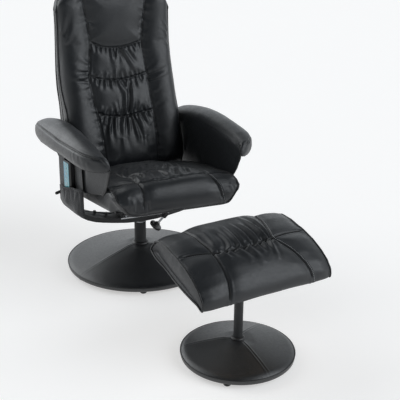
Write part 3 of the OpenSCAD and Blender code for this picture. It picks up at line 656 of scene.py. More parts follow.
BACK_SEAMS = [on_back(side_seam(-1)), on_back(side_seam(1)), on_back(S563), on_back(S694), on_back(S808)]
BACK_FOLDS = [(114, 897, 90, 900, 5, 1.8), (110, 872, 91, 876, 5, 1.8), (107, 854, 87, 857, 5, -1.8), (101, 836, 83, 841, 5, 1.8), (116, 923, 89, 935, 6, 2), (-105, 878, -84, 863, 6, 2.5),
    (-95, 794, -97, 768, 5, 2.5), (-77, 790, -77, 771, 5, 2.2), (-58, 787, -60, 770, 5, 1.8), (-28, 782, -22, 725, 6, 4.0), (-2, 782, -19, 725, 5, 4.0), (16, 783, 64, 702, 7, 5.5),
    (4, 782, 29, 736, 5, -3.0), (35, 782, 64, 734, 6, -3.5), (32, 786, 48, 760, 5, 2.5), (64, 789, 73, 766, 5, 2.5), (89, 797, 97, 754, 5, 2.0), (-22, 677, -17, 732, 6, 3.4), (29, 679, 15, 723, 6, 2.5),
    (46, 685, 41, 707, 5, 2), (-61, 682, -53, 706, 5, 1.8), (-94, 688, -84, 708, 5, 1.5), (74, 690, 77, 712, 5, 1.6), (-99, 681, -99, 656, 5, 2), (-65, 675, -66, 640, 6, 3), (-38, 673, -39, 642, 5, 2.5),
    (-15, 672, 8, 617, 6, 4.5), (0, 672, 25, 626, 5, -4.0), (20, 674, 46, 628, 6, 3.5), (61, 679, 63, 641, 5, 2.5), (86, 686, 89, 654, 5, 2), (28, 662, 9, 556, 7, -5.0), (9, 556, 27, 655, 6, -4.5),
    (-30, 551, -41, 603, 5, 4), (-3, 550, 10, 620, 5, 4.5), (24, 550, 40, 618, 5, 3.8), (-82, 557, -92, 596, 6, 2.5), (-104, 566, -114, 602, 6, -2), (93, 564, 87, 611, 5, 2), (-18, 549, -10, 625, 4.5, -3.5),
    (-63, 554, -66, 591, 5, -2.2), (48, 556, 62, 602, 5, 2), (72, 560, 73, 598, 5, -1.8), (-59, 544, -78, 490, 6, 4.0), (-72, 520, -76, 430, 8, 3.6), (-72, 545, -91, 485, 6, -3), (-39, 543, -56, 485, 6, 3.5),
    (-50, 542, -66, 475, 5, -4), (-12, 541, -20, 474, 7, 3.5), (-26, 542, -35, 484, 5, -3), (15, 541, 0, 478, 6, 4), (2, 541, -12, 468, 5, -3.5), (21, 545, 44, 444, 6, 5), (32, 546, 55, 452, 6, -5),
    (50, 548, 73, 480, 6, 3), (73, 553, 91, 504, 6, 3), (62, 550, 78, 502, 5, -2.5), (-98, 551, -97, 503, 5, 2.5), (-87, 549, -105, 497, 5, -2), (95, 556, 102, 514, 5, 2), (-25, 470, -20, 392, 10, 2.2), (60, 470, 66, 400, 10, 2.0)]
BOLSTER_FOLDS = [(-127, 709, -180, 716, 5, -4.5), (-129, 694, -194, 695, 6, 4), (-131, 675, -188, 687, 5, -3.5), (-129, 661, -181, 657, 6, 2.5), (-122, 740, -162, 770, 7, 3), (-203, 856, -186, 939, 8, 2.6),
    (-197, 842, -168, 917, 9, -2.6), (-195, 814, -152, 881, 8, 2.2), (-126, 619, -153, 638, 7, 2), (-113, 572, -145, 592, 8, 2.2), (-108, 530, -140, 547, 8, -1.8),
    (106, 665, 189, 695, 5, 4.2), (108, 683, 187, 714, 5, -4.2), (110, 700, 156, 726, 6, 3), (198, 858, 183, 892, 4, 2.4), (199, 822, 184, 855, 4, 2.6), (199, 789, 181, 822, 4, 2.6), (199, 840, 179, 866, 4, -2),
    (118, 625, 149, 644, 6, 2), (125, 574, 170, 596, 8, -1.8), (106, 884, 132, 861, 7, 1.8), (115, 960, 150, 930, 8, 2.0), (-122, 960, -160, 940, 8, -2.0), (112, 480, 150, 470, 9, 2.0), (-102, 450, -150, 462, 9, -2.0)]


def back_front():
    ns, nt = 76, 112
    s = np.linspace(-1, 1, ns)
    t = np.linspace(0, 1, nt)
    S, T = np.meshgrid(s, t, indexing="ij")
    Z = 352 + (top_z(S) - 352) * T
    X = S * half_w(Z)
    P = np.stack([X, yc(Z), Z], -1)
    d = nearest_seam(P.reshape(-1, 3), BACK_SEAMS).reshape(ns, nt)
    edge = np.minimum(half_w(Z) - np.abs(X), np.minimum((top_z(S) - Z) * 1.0, (Z - 352) * 0.8 + 6))
    inner = (X > np.interp(Z, side_seam(-1)[:, 1], side_seam(-1)[:, 0])) & (X < np.interp(Z, side_seam(1)[:, 1], side_seam(1)[:, 0]))
    head = inner & (Z > np.interp(X, S808[:, 0], S808[:, 1]))
    dd = np.minimum(d, np.maximum(edge, 0))
    lift = np.where(head, puff(dd, 19, 78), np.where(inner, puff(dd, 12, 46), puff(dd, 17, 46)))
    P[..., 1] -= lift
    # the cover rolls back to where it meets the piping
    back = pipe_y(Z) - yc(Z)
    R = np.maximum(20.0, back * 0.95)
    k = np.clip(1 - np.maximum(edge, 0) / R, 0, 1)
    P[..., 1] += back * (1 - np.sqrt(np.maximum(0, 1 - k ** 2.3)))
    B = np.stack([S * half_w(Z, 211.5), np.maximum(mid_y(Z), P[..., 1] + 4.0) - 1.0, 352 + (top_z(S, 1009.5) - 352) * T], -1)
    V, F, rim_f, rim_b = pillow(P, B, 8, 1.5)

    def pins(V):
        w = np.zeros(len(V))
        w[nearest_seam(V, BACK_SEAMS) < 7.5] = 1
        w[np.abs(V[:, 0]) > 217.5] = 1
        w[nearest_seam(V, [np.r_[rim_f, rim_f[:1]]]) < 3.5] = 1
        w[V[:, 1] > mid_y(V[:, 2]) - 4] = 1
        w[V[:, 2] < 356] = 1
        return w

    def stretch(V):
        out = V.copy()
        z = V[:, 2]
        k = np.zeros(len(V))
        for sm in (BACK_SEAMS[2], BACK_SEAMS[3], BACK_SEAMS[4]):
            zz = np.interp(V[:, 0], sm[:, 0], sm[:, 2])
            k = np.maximum(k, np.exp(-((z - zz) / 55.0) ** 2))
        ins = (np.abs(V[:, 0]) < 108) & (z < 800)
        out[:, 0] *= 1 + 0.16 * k * ins
        return out

    V, F = cloth(V, F, pins, cap=9.0, pressure=4.0, stretch=stretch)
    V, F = subdivide(V, F, 1)
    Nn = normals(V, F)
    x, z = V[:, 0], V[:, 2]
    front = (V[:, 1] < np.maximum(pipe_y(z) - 2, yc(z) + 14)) & (np.abs(x) < half_w(z) - 1)
    xl = np.interp(z, side_seam(-1)[:, 1], side_seam(-1)[:, 0])
    xr = np.interp(z, side_seam(1)[:, 1], side_seam(1)[:, 0])
    inn = smoothstep(0, 5, x - xl) * smoothstep(0, 5, xr - x)
    folds = BACK_FOLDS + pleats(S808 - [0, 3], -1, 9, 26, 1.7, 11) + pleats(S694 + [0, 3], 1, 10, 26, 1.4, 12) + pleats(S694 - [0, 3], -1, 9, 30, 1.7, 13) \
        + pleats(S563 + [0, 3], 1, 9, 34, 1.7, 14) + pleats(S563 - [0, 3], -1, 9, 40, 1.9, 15)
    h = strokes(x, z, folds) * inn * 1.15 * smoothstep(-3.0, 5.0, nearest_seam(V, BACK_SEAMS))
    side_folds = BOLSTER_FOLDS + pleats(side_seam(-1), 1, 26, 26, 0.9, 16, width=6) + pleats(side_seam(1), -1, 26, 26, 0.9, 17, width=6)
    h += strokes(x, z, side_folds) * (1 - inn) * smoothstep(0, 8, half_w(z) - np.abs(x))
    h += seam_relief(nearest_seam(V, BACK_SEAMS), 3.0, 3.4, 1.0)
    h += waves(V, 21, 90, 0.7)
    h = np.where(front, h, 0.35 * waves(V, 22, 60, 0.8) * (V[:, 1] < mid_y(z) - 6))
    V = V + Nn * h[:, None]
    o = finish_soft("back_front_cover", V, F, "leather", "chair_back", "chair", ("back_cushion", "headrest_cushion"))
    seam_lines("back_seam", [q[2:-2] for q in BACK_SEAMS], V, "chair_back", r=1.25)
    path = rim_f[::3]
    tube("back_front_piping", path, 3.1, "piping", "chair_back", closed=True, k=10, n=520)
    return rim_f, rim_b


RIM_F, RIM_B = back_front()


# ------------------------------------------------------------------ chair back, rear shell
YR = np.array([(345, 226), (352, 232), (362, 240), (430, 273), (500, 296), (541, 305), (620, 319), (690, 327), (750, 331), (812, 332), (888, 330), (940, 327), (988, 322), (1012, 312)], float)


def back_rear():
    ns, nt = 70, 104
    S, T = np.meshgrid(np.linspace(-1, 1, ns), np.linspace(0, 1, nt), indexing="ij")
    Z = 354 + (top_z(S, 1001.0) - 354) * T
    X = S * half_w(Z, 206.0)
    edge = np.minimum(half_w(Z, 206.0) - np.abs(X), np.minimum(top_z(S, 1001.0) - Z, (Z - 354)))
    Y = np.interp(Z, YR[:, 0], YR[:, 1]) - 10 * np.exp(-np.maximum(edge, 0) / 16.0) - 5
    seam = smooth_path([(-198, 604), (-100, 596), (0, 593), (100, 596), (198, 604)], 60)
    path = np.stack([seam[:, 0], np.interp(seam[:, 1], YR[:, 0], YR[:, 1]) - 5, seam[:, 1]], -1)
    P = np.stack([X, Y, Z], -1)
    d = near(P.reshape(-1, 3), path)[0].reshape(ns, nt)
    P[..., 1] += puff(np.minimum(d, np.maximum(edge, 0)), 7, 60) - 2
    B = np.stack([S * half_w(Z, 212.0), mid_y(Z) + 3.6, 353 + (top_z(S, 1010.0) - 353) * T], -1)
    V, F, rim, _ = pillow(P, B, 9, 2.2)

    def pins(V):
        w = np.zeros(len(V))
        w[near(V, path)[0] < 7] = 1
        w[nearest_seam(V, [np.r_[rim, rim[:1]]]) < 3.5] = 1
        w[V[:, 1] < mid_y(V[:, 2]) + 6] = 1
        return w

    V, F = cloth(V, F, pins, cap=4.0, pressure=2.0)
    V, F = subdivide(V, F, 1)
    Nn = normals(V, F)
    x, z = V[:, 0], V[:, 2]
    rear = V[:, 1] > np.interp(z, YR[:, 0], YR[:, 1]) - 26
    h = seam_relief(near(V, path)[0], 2.4, 2.4, 0.8)
    h += strokes(x, z, pleats(seam + [0, 3], 1, 34, 50, 0.9, 31, width=8) + pleats(seam - [0, 3], -1, 34, 60, 0.9, 32, width=8)
                 + [(190, 985, 120, 930, 9, 2.0), (-190, 985, -125, 925, 9, -2.0), (150, 996, 110, 950, 8, -1.6), (-150, 996, -95, 955, 8, 1.8), (196, 380, 140, 430, 9, 2.0), (-196, 380, -150, 440, 9, 2.0)])
    h += waves(V, 33, 120, 0.8)
    V = V + Nn * np.where(rear, h, 0.3 * waves(V, 34, 60, 0.8) * (V[:, 1] > mid_y(z) + 8))[:, None]
    finish_soft("back_rear_cover", V, F, "leather", "chair_back", "chair", ("rear_cover",))
    tube("back_rear_piping", rim[::3], 2.6, "piping", "chair_back", closed=True, k=10, n=500)
    k = np.stack([RIM_B[:, 0] * 0.998, RIM_B[:, 1] + 2.3, RIM_B[:, 2]], -1)
    tube("back_joint_seam", k[::3], 1.5, "piping", "chair_back", closed=True, k=10, n=500)


back_rear()


# ------------------------------------------------------------------ wrapped cushions (seat, footstool)
class Wrap:
    """A cushion whose cover runs round a side profile, with a cheek sewn into each end.
    A point is named by X and by w, the length along the profile from y = 0 on top, negative to the front."""

    def __init__(self, prof, half, er, soften, shape=None):
        p = np.asarray(prof, float)
        d = np.r_[0, np.cumsum(np.linalg.norm(np.diff(np.r_[p, p[:1]], axis=0), axis=1))]
        s = np.linspace(0, d[-1], 901)[:-1]
        q = np.stack([np.interp(s, d, np.r_[p[:, k], p[:1, k]]) for k in (0, 1)], -1)
        n = max(1, int(soften / (d[-1] / 900)))
        for _ in range(3):
            q = sum(np.roll(q, k, 0) for k in range(-n, n + 1)) / (2 * n + 1)
        d = np.r_[0, np.cumsum(np.linalg.norm(np.diff(np.r_[q, q[:1]], axis=0), axis=1))]
        self.L, self.q, self.d = d[-1], np.r_[q, q[:1]], d
        t = np.roll(q, -2, 0) - np.roll(q, 2, 0)
        nn = np.stack([t[:, 1], -t[:, 0]], -1)
        nn /= np.linalg.norm(nn, axis=1)[:, None]
        if ((q - q.mean(0)) * nn).sum() < 0:
            nn = -nn
        self.n = np.r_[nn, nn[:1]]
        top = np.nonzero(q[:, 1] > q[:, 1].mean())[0]
        self.a0 = d[top[np.argmin(np.abs(q[top, 0]))]]
        self.sign = 1.0 if q[(np.searchsorted(d, self.a0) + 5) % len(q), 0] > q[np.searchsorted(d, self.a0) % len(q), 0] else -1.0
        self.half, self.er, self.shape = half, er, shape

    def pt(self, X, w, out=0.0):
        X, w = np.broadcast_arrays(np.asarray(X, float), np.asarray(w, float))
        a = (self.a0 + self.sign * w) % self.L
        y, z = np.interp(a, self.d, self.q[:, 0]), np.interp(a, self.d, self.q[:, 1])
        ny, nz = np.interp(a, self.d, self.n[:, 0]), np.interp(a, self.d, self.n[:, 1])
        k = np.clip((np.abs(X) - (self.half - self.er)) / self.er, 0, 1)
        ins = self.er * (1 - np.sqrt(1 - k ** 2)) - out
        P = np.stack([X, y - ny * ins, z - nz * ins], -1)
        return self.shape(P) if self.shape else P

    def w_of(self, P):
        loop = self.q[::3]
        arc = near(np.asarray(P)[:, 1:3], np.r_[loop, loop[:1]])[1]
        arc = arc * self.L / np.linalg.norm(np.diff(np.r_[loop, loop[:1]], axis=0), axis=1).sum()
        w = self.sign * (arc - self.a0)
        return (w + self.L / 2) % self.L - self.L / 2

    def path(self, pts, step=6.0, out=0.0):
        p = smooth_path(pts, max(8, int(np.linalg.norm(np.diff(np.asarray(pts, float), axis=0), axis=1).sum() / step)))
        return self.pt(p[:, 0], p[:, 1], out)

    def mesh(self, step, cheek=3.0):
        K = int(self.L / step)
        w = np.linspace(0, self.L, K, endpoint=False)
        e = self.half - self.er
        Xs = list(np.linspace(-e, e, int(2 * e / step) + 1))
        th = np.radians([30, 60, 90])
        Xs = [-(e + self.er * math.sin(a)) for a in th[::-1]] + Xs + [e + self.er * math.sin(a) for a in th]
        rows = [self.pt(x, w) for x in Xs]
        for side in (0, -1):
            edge, x = rows[side], Xs[side]
            c = edge.mean(0)
            for f in (0.12, 0.3, 0.5, 0.72, 0.9, 1.0):
                r = edge * (1 - f) + c * f
                r[:, 0] = x + math.copysign(cheek * (1 - (1 - f) ** 2.5), x)
                rows.insert(0, r) if side == 0 else rows.append(r)
        V = np.array(rows)
        return V.reshape(-1, 3), grid_faces(V.shape[0], K, wrap_v=True)


def tilt(P, deg, z0):
    a = math.radians(deg)
    P = np.asarray(P, float)
    return np.stack([P[..., 0], P[..., 1] * math.cos(a) - P[..., 2] * math.sin(a), P[..., 1] * math.sin(a) + P[..., 2] * math.cos(a) + z0], -1)


SEAT_PROF = [(64, 0), (63, 62), (56, 84), (30, 97), (0, 103), (-90, 108), (-180, 110), (-330, 108), (-384, 102), (-410, 90), (-425, 70), (-430, 44), (-426, 16), (-415, 1)]


def seat_drop(x, y):
    """How much lower the cover lies towards the arms than along its middle."""
    f = np.clip((np.abs(x) - 40) / 183.0, 0, 1) ** 1.8
    return np.interp(y, [-430, -400, -357, -239, -156, -67, 27, 64], [28, 31, 33, 32, 28, 25, 21, 19]) * f


def seat_shape(P):
    x, y, z = np.abs(P[..., 0]), P[..., 1], P[..., 2]
    top = np.interp(y, [-430, -425, -410, -384, -330, -180, -90, 0, 30, 56, 64], [44, 70, 90, 102, 108, 110, 108, 103, 97, 84, 60])
    z = z - seat_drop(x, y) * np.clip(z / top, 0, 1) ** 1.5
    m = smoothstep(-310, -400, y)
    dy = np.interp(x, [140, 175, 196, 208, 216, 223, 230], [0, 2.0, 6, 10, 15, 24, 30])
    lift = np.interp(x, [172, 182, 192, 200, 208, 215, 223, 230], [0, 3, 8, 15, 26, 36, 46, 50])
    low = smoothstep(50, 4, z)
    y = y + dy * m
    z = z + lift * smoothstep(-366, -406, P[..., 1]) * low
    lip = smoothstep(-380, -412, y) * smoothstep(34, 4, z)
    z = z - 10.0 * lip * smoothstep(215, 150, x)
    y = y - 3.0 * m * smoothstep(195, 215, x)
    hole = (x < 204.5) & (P[..., 1] > -375) & (P[..., 1] < 61) & (P[..., 2] < 2.2)
    z = np.where(hole, 29.4, z)
    return np.stack([P[..., 0], y, z], -1)


def seat():
    W = Wrap(SEAT_PROF, 222.5, 13.0, 5.0, seat_shape)

    def yw(pts):
        top = [(-430, 44), (-425, 70), (-410, 90), (-384, 102), (-330, 108), (-180, 110), (-90, 108), (0, 103), (30, 97), (56, 84), (64, 60)]
        q = np.array([[0.0, p[1], p[2] if len(p) > 2 else np.interp(p[1], [a for a, _ in top], [b for _, b in top])] for p in pts])
        return np.stack([[p[0] for p in pts], W.w_of(q)], -1)

    seams2 = [yw([(-140, 56), (-140, -60), (-137, -227), (-131, -262), (-127, -302), (-129, -339), (-128, -372), (-124, -403), (-123, -424), (-124, -430, 40), (-126, -426, 16), (-128, -417, 1)]),
              yw([(108, 56), (110, -60), (114, -200), (119, -320), (121, -378), (125, -407), (135, -424), (142, -430, 44), (148, -426, 18), (152, -417, 1)]),
              yw([(-223, -330), (-176, -345), (-128, -372), (-109, -384), (-80, -388), (-42, -390), (10, -387), (49, -385), (90, -382), (121, -378), (170, -356), (223, -338)])]
    seams = [W.path(s) for s in seams2]
    rim2 = [(-214, 40), (-214, -200), (-214, -380), (-213, -420), (-209, -446), (-200, -476), (-184, -500), (-150, -511), (0, -512), (150, -511), (184, -500), (200, -476), (209, -446), (213, -420), (214, -380), (214, -200), (214, 40)]
    rim = W.path(rim2, out=1.4)
    V, F = W.mesh(6.0)

    def pins(V):
        w = np.zeros(len(V))
        w[nearest_seam(V, seams) < 7.0] = 1
        w[near(V, rim)[0] < 5.5] = 1
        w[(V[:, 2] < 30) & (V[:, 1] > -400)] = 1
        w[(np.abs(V[:, 0]) > 219) & (V[:, 1] > -385)] = 1
        return w

    def sink(V):
        d = nearest_seam(V, seams)
        top = np.clip(smoothstep(20, 60, V[:, 2]) + smoothstep(-405, -425, V[:, 1]), 0, 1)
        edge = smoothstep(2, 34, 216 - np.abs(V[:, 0])) * smoothstep(-4, 26, V[:, 2])
        return top * edge * (puff(np.minimum(d, 60), 7.5, 46) - 6.0)

    nr = normals(V, np.array(F))
    V = V + nr * sink(V)[:, None]
    seams = [W.path(s, out=-5.5) for s in seams2]

    def stretch(V):
        out = V.copy()
        k = np.exp(-((V[:, 1] + 320) / 60.0) ** 2) * (np.abs(V[:, 0]) < 125)
        out[:, 0] *= 1 + 0.12 * k
        return out

    V, F = cloth(V, F, pins, cap=6.0, pressure=4.0, stretch=stretch)
    V, F = subdivide(V, F, 1)
    Nn = normals(V, F)
    w = W.w_of(V)
    x = V[:, 0]
    up = (np.abs(x) < 219) & ((V[:, 2] > 12) | (V[:, 1] < -408))
    lines = [([(-82, -69), (-116, -171), (-136, -231)], 8, -3.0, 0), ([(-87, -148), (-110, -223), (-126, -266)], 7, -4.5, 0), ([(-124, -256), (-108, -270), (-96, -286), (-99, -330), (-104, -368)], 6.5, -6.0, 0),
             ([(-10, -134), (-36, -198), (-59, -243)], 8, -4.5, 0), ([(-88, -278), (-64, -290), (-43, -293), (-20, -295)], 6.5, -5.0, 0), ([(-40, -288), (-28, -325), (-24, -352), (-26, -380)], 6.5, -6.5, 0),
             ([(52, -180), (20, -252), (-9, -288)], 7.5, -5.0, 0), ([(88, -108), (62, -205), (50, -268)], 7.5, -5.5, 0), ([(36, -281), (14, -345), (0, -380)], 8, -4.5, 0), ([(68, -292), (56, -345), (56, -372)], 7, -5.0, 0),
             ([(-30, -60), (-60, -150), (-86, -241)], 8, -2.6, 0), ([(-56, -204), (-70, -240), (-81, -265)], 6.5, -3.5, 0), ([(100, -150), (92, -240), (98, -330)], 9, -2.2, 0), ([(-104, -300), (-112, -340), (-114, -372)], 5.5, 3.2, 0),
             ([(-78, -300), (-74, -340), (-78, -376)], 8, 2.6, 0), ([(4, -200), (-14, -240), (-30, -268)], 8, 2.4, 0), ([(30, -310), (30, -345), (28, -376)], 7, 2.4, 0), ([(-128, -455), (-122, -480), (-124, -506)], 5, 1.8, 0),
             ([(-146, -462), (-150, -485), (-148, -508)], 6, -2.0, 0), ([(-166, -452), (-160, -480), (-162, -506)], 6, 1.8, 0), ([(-112, -470), (-112, -505)], 5, -1.6, 0), ([(-182, -440), (-176, -470), (-172, -490)], 8, 1.8, 0), ([(176, -446), (186, -466), (190, -482)], 7, 1.8, 0)]
    mid = smooth_path(seams2[2][2:10], 50)
    folds = pleats(mid + [0, 4], 1, 15, 30, 1.3, 41, width=5.5, slant=0.5) + pleats(mid - [0, 4], -1, 17, 18, 0.8, 42)
    folds += pleats(np.array([(-213, -400), (-209, -446), (-184, -500), (-130, -511)], float), -1, 24, 24, 0.9, 43, width=6) + pleats(np.array([(130, -511), (184, -500), (209, -446), (213, -400)], float), -1, 24, 24, 0.9, 44, width=6)
    h = (strokes(x, w, folds) + creases(x, w, lines)) * smoothstep(-1.5, 6.0, nearest_seam(V, seams))
    h += seam_relief(nearest_seam(V, seams), 3.2, 2.8, 1.0) + waves(V, 45, 110, 0.9)
    V = V + Nn * np.where(up, h, 0)[:, None]
    finish_soft("seat_cover", tilt(V, -10.8, 296), F, "leather", "chair_seat", "chair", ("seat_cushion",))
    seam_lines("seat_seam", [seams[0][2:], seams[1][2:], W.path(seams2[2][2:10], out=-5.5)], V, "chair_seat", place=lambda q: tilt(q, -10.8, 296), r=1.0)
    tube("seat_piping", tilt(snap(rim, V, lift=1.2), -10.8, 296), 3.3, "piping", "chair_seat", k=10, n=300)
    # stitch rows beside the seat's side seams: the left row is dark thread, the right row gets the pale thread as a
    # painted highlight
    for i, (s, off) in enumerate(((seams2[0][5:], -6), (seams2[1][3:], 6))):
        row = snap(W.path([(a + off, b) for a, b in s], step=3.0, out=-4.0), V, span=5)
        stitches("seat_stitching_%d" % i, tilt(row, -10.8, 296), "chair_seat", "chair", length=4.0, r=(0.45, 0.6)[i], mat=("piping", "pale_highlight_thread")[i])


seat()

STOOL_PROF = [(136, 0), (139, 26), (134, 48), (113, 69), (66, 84), (8, 89), (-46, 85), (-92, 73), (-126, 57), (-148, 37), (-159, 15), (-158, 0)]


def stool_shape(P):
    x, y, z = np.abs(P[..., 0]), P[..., 1], P[..., 2]
    top = np.interp(y, [-159, -148, -126, -92, -46, 8, 66, 113, 134, 139], [12, 37, 57, 73, 85, 89, 84, 69, 48, 20])
    f = np.clip((x - 40) / 176.0, 0, 1) ** 1.8
    d = np.interp(y, [-159, -138, -103, -36, 28, 73, 119, 136], [4, 14, 20, 26, 29, 27, 22, 14]) * f
    z2 = z * (1 - np.clip(d / np.maximum(top, 10), 0, 0.6))
    y2 = y - np.sign(y) * 3.0 * smoothstep(190, 216, x) * smoothstep(90, 150, np.abs(y))
    bow = smoothstep(195, 214, x) * smoothstep(30, 6, z) * np.sin(math.pi * np.clip((y + 158) / 295.0, 0, 1))
    hole = (x < 192.0) & (y > -138) & (y < 114) & (z < 2.2)
    front = smoothstep(-128, -154, y) * smoothstep(30, 4, z)
    rear = smoothstep(196, 214, x) * smoothstep(40, 8, z) * smoothstep(20, 110, y)
    z2 = np.where(hole, 12.6, z2 - 4.0 * bow - 5.0 * front)
    return np.stack([P[..., 0] + np.sign(P[..., 0]) * (8.0 * bow + 9.0 * rear), y2, z2], -1)


def footstool():
    W = Wrap(STOOL_PROF, 215.5, 7.0, 5.0, stool_shape)

    def yw(pts):
        q = np.array([[0.0, p[1], p[2] if len(p) > 2 else np.interp(p[1], [-159, -148, -126, -92, -46, 8, 66, 113, 134, 139], [12, 37, 57, 73, 85, 89, 84, 69, 48, 20])] for p in pts])
        return np.stack([[p[0] for p in pts], W.w_of(q)], -1)

    L = yw([(-139, 137, 8), (-138, 134, 48), (-134, 98), (-128, 43), (-122, -2), (-121, -24), (-120, -72), (-122, -114), (-127, -143), (-131, -158, 20), (-133, -158, 1)])
    R = yw([(120, 137, 8), (118, 134, 48), (110, 110), (99, 51), (87, 5), (81, -22), (90, -40), (114, -77), (131, -115), (142, -142), (146, -158, 20), (147, -158, 1)])
    C = yw([(-216, 3), (-196, 2), (-162, -6), (-121, -24), (-83, -34), (-31, -35), (31, -33), (81, -22), (127, -12), (170, -6), (216, -1)])
    seams2 = [L, R, C]
    V, F = W.mesh(5.0, cheek=4.0)
    loop = np.linspace(0, W.L, 200, endpoint=False)
    rims = [W.pt(sx * 214.5, loop, 0.8) for sx in (-1, 1)]
    seams = [W.path(s) for s in seams2]
    d = nearest_seam(V, seams)
    top = np.clip(smoothstep(12, 40, V[:, 2]) + smoothstep(-145, -156, V[:, 1]) + smoothstep(128, 136, V[:, 1]), 0, 1) * smoothstep(-2, 30, V[:, 2])
    edge = smoothstep(1, 34, 214 - np.abs(V[:, 0]))
    V = V + normals(V, np.array(F)) * (top * edge * (puff(np.minimum(d, 60), 8.0, 46) - 5.5))[:, None]
    seams = [W.path(s, out=-5.0) for s in seams2]

    def pins(V):
        w = np.zeros(len(V))
        w[nearest_seam(V, seams) < 6.0] = 1
        w[nearest_seam(V, [np.r_[r, r[:1]] for r in rims]) < 5.0] = 1
        w[(V[:, 2] < 13) & (V[:, 1] > -150) & (V[:, 1] < 130)] = 1
        w[np.abs(V[:, 0]) > 213] = 0.75
        return w

    def stretch(V):
        out = V.copy()
        k = np.exp(-((V[:, 1] + 30) / 52.0) ** 2) * (np.abs(V[:, 0] + 20) < 98)
        out[:, 0] = (out[:, 0] + 20) * (1 + 0.12 * k) - 20
        return out

    V, F = cloth(V, F, pins, cap=6.0, pressure=4.0, stretch=stretch)
    V, F = subdivide(V, F, 1)
    Nn = normals(V, F)
    w = W.w_of(V)
    x = V[:, 0]
    lines = [([(-33, -33), (-37, 12), (-37, 82)], 5.5, 4.2, 1), ([(29, -26), (23, 16), (11, 70)], 5.5, 4.4, 1), ([(62, -26), (54, 13), (46, 59), (41, 112)], 5.5, 5.0, 1), ([(35, -30), (46, 0)], 4.5, 2.6, 1),
             ([(78, 10), (77, 60), (72, 108)], 6, 2.6, 0), ([(4, -30), (-4, 30), (-14, 96)], 5.5, 3.6, 1), ([(-60, -30), (-62, 20), (-66, 76)], 6, 3.2, 1), ([(-88, -34), (-72, -2), (-74, 44)], 6.5, -4.6, 1),
             ([(-24, -33), (-28, 30), (-31, 74)], 6, -4.6, 1), ([(14, -31), (6, 20), (-2, 70)], 5.5, -3.4, 1), ([(43, -25), (36, 30), (28, 74)], 6, -4.6, 1), ([(71, -20), (65, 34), (59, 104)], 6.5, -4.6, 1),
             ([(-14, -34), (-11, -16)], 4, -2.8, 1), ([(-2, -34), (0, -19)], 4, -2.6, 1), ([(15, -33), (17, -17)], 4, -2.6, 1), ([(29, -31), (38, -10)], 4, -2.8, 1), ([(48, -30), (54, -8)], 4, -2.8, 1), ([(-48, -34), (-50, -12)], 5, -2.6, 1),
             ([(-106, -20), (-100, 30), (-102, 80)], 8, 2.2, 0), ([(63, -30), (56, -70), (55, -108)], 5.5, 4.6, 1), ([(-10, -38), (-4, -76), (6, -108)], 7, 3.6, 1), ([(-47, -38), (-34, -72), (-28, -96)], 7, 3.6, 1), ([(-94, -36), (-84, -70)], 6, 3.0, 1),
             ([(15, -37), (21, -78)], 6, 3.0, 1), ([(38, -36), (44, -78)], 5.5, 3.0, 1), ([(72, -30), (71, -66)], 5.5, -3.6, 1), ([(-86, -38), (-76, -66)], 5, -3.0, 1), ([(26, -37), (31, -76)], 5.5, -3.2, 1), ([(-28, -38), (-18, -74)], 6, -3.0, 1), ([(50, -34), (50, -70)], 5, -3.0, 1), ([(-64, -38), (-56, -72)], 6, -2.8, 1)]
    mid = smooth_path(C[3:8], 50)
    folds = pleats(mid + [0, 3], 1, 13, 16, 1.0, 51) + pleats(mid - [0, 3], -1, 14, 14, 0.9, 52)
    xl, xr = np.interp(w, L[::-1, 1], L[::-1, 0]), np.interp(w, R[::-1, 1], R[::-1, 0])
    inn = smoothstep(1, 8, x - xl) * smoothstep(1, 8, xr - x)
    h = (strokes(x, w, folds) + creases(x, w, lines)) * inn * smoothstep(-1.5, 6.5, nearest_seam(V, seams))
    h += seam_relief(nearest_seam(V, seams), 2.8, 2.8, 1.0) + waves(V, 55, 120, 0.8)
    skin = (np.abs(x) < 211) & ((V[:, 2] > 13) | (np.abs(V[:, 1] + 11) > 140))
    cheek = strokes(V[:, 1], V[:, 2], [(-150, 6, -100, 30, 9, 1.6), (120, 8, 70, 30, 9, -1.6), (-20, 56, -30, 26, 12, 1.2), (40, 56, 60, 26, 12, -1.2)]) * (np.abs(x) > 216)
    V = V + Nn * np.where(skin, h, cheek)[:, None]
    finish_soft("footstool_cover", tilt(V, 14.4, 322), F, "leather", "footstool", "stool", ("stool_cushion",))
    y_lo, y_hi = W.w_of(np.array([[0, -158, 6.0]]))[0], W.w_of(np.array([[0, 136, 30.0]]))[0]
    for i, r in enumerate(rims):
        rr = snap(np.r_[r, r[:8]], V, lift=1.2)
        rr = np.r_[rr[4:-4]]
        rr[:, 0] += (-1, 1)[i] * 1.5
        tube("footstool_piping_%d" % i, tilt(rr, 14.4, 322), 2.9, "piping", "footstool", "stool", closed=True, k=10, n=260)
        row = snap(W.pt((-1, 1)[i] * 206.0, np.linspace(y_hi, y_lo, 170), -0.2), V, span=5)
        stitches("footstool_edge_stitching_%d" % i, tilt(row, 14.4, 322), "footstool", "stool", mat="piping")
    seam_lines("footstool_seam", [seams[0][1:], seams[1][1:], seams[2]], V, "footstool", "stool", place=lambda q: tilt(q, 14.4, 322), r=1.5, lift=0.7)
    # stitch rows beside the footstool seams: only the right seam (i == 1) gets the pale, thicker thread as a painted
    # highlight; the other rows stay dark
    for i, (s, off) in enumerate(((L, -5.5), (R, 5.5), (C[:4] + [0, -5.5], 0), (C[7:] + [0, -5.5], 0))):
        row = snap(W.path([(a + off, b) for a, b in s], step=3.0, out=-3.0), V, span=5)
        stitches("footstool_stitching_%d" % i, tilt(row, 14.4, 322), "footstool", "stool", length=4.4, r=0.85 if i == 1 else 0.45, mat=("piping", "pale_highlight_thread")[i == 1])


footstool()


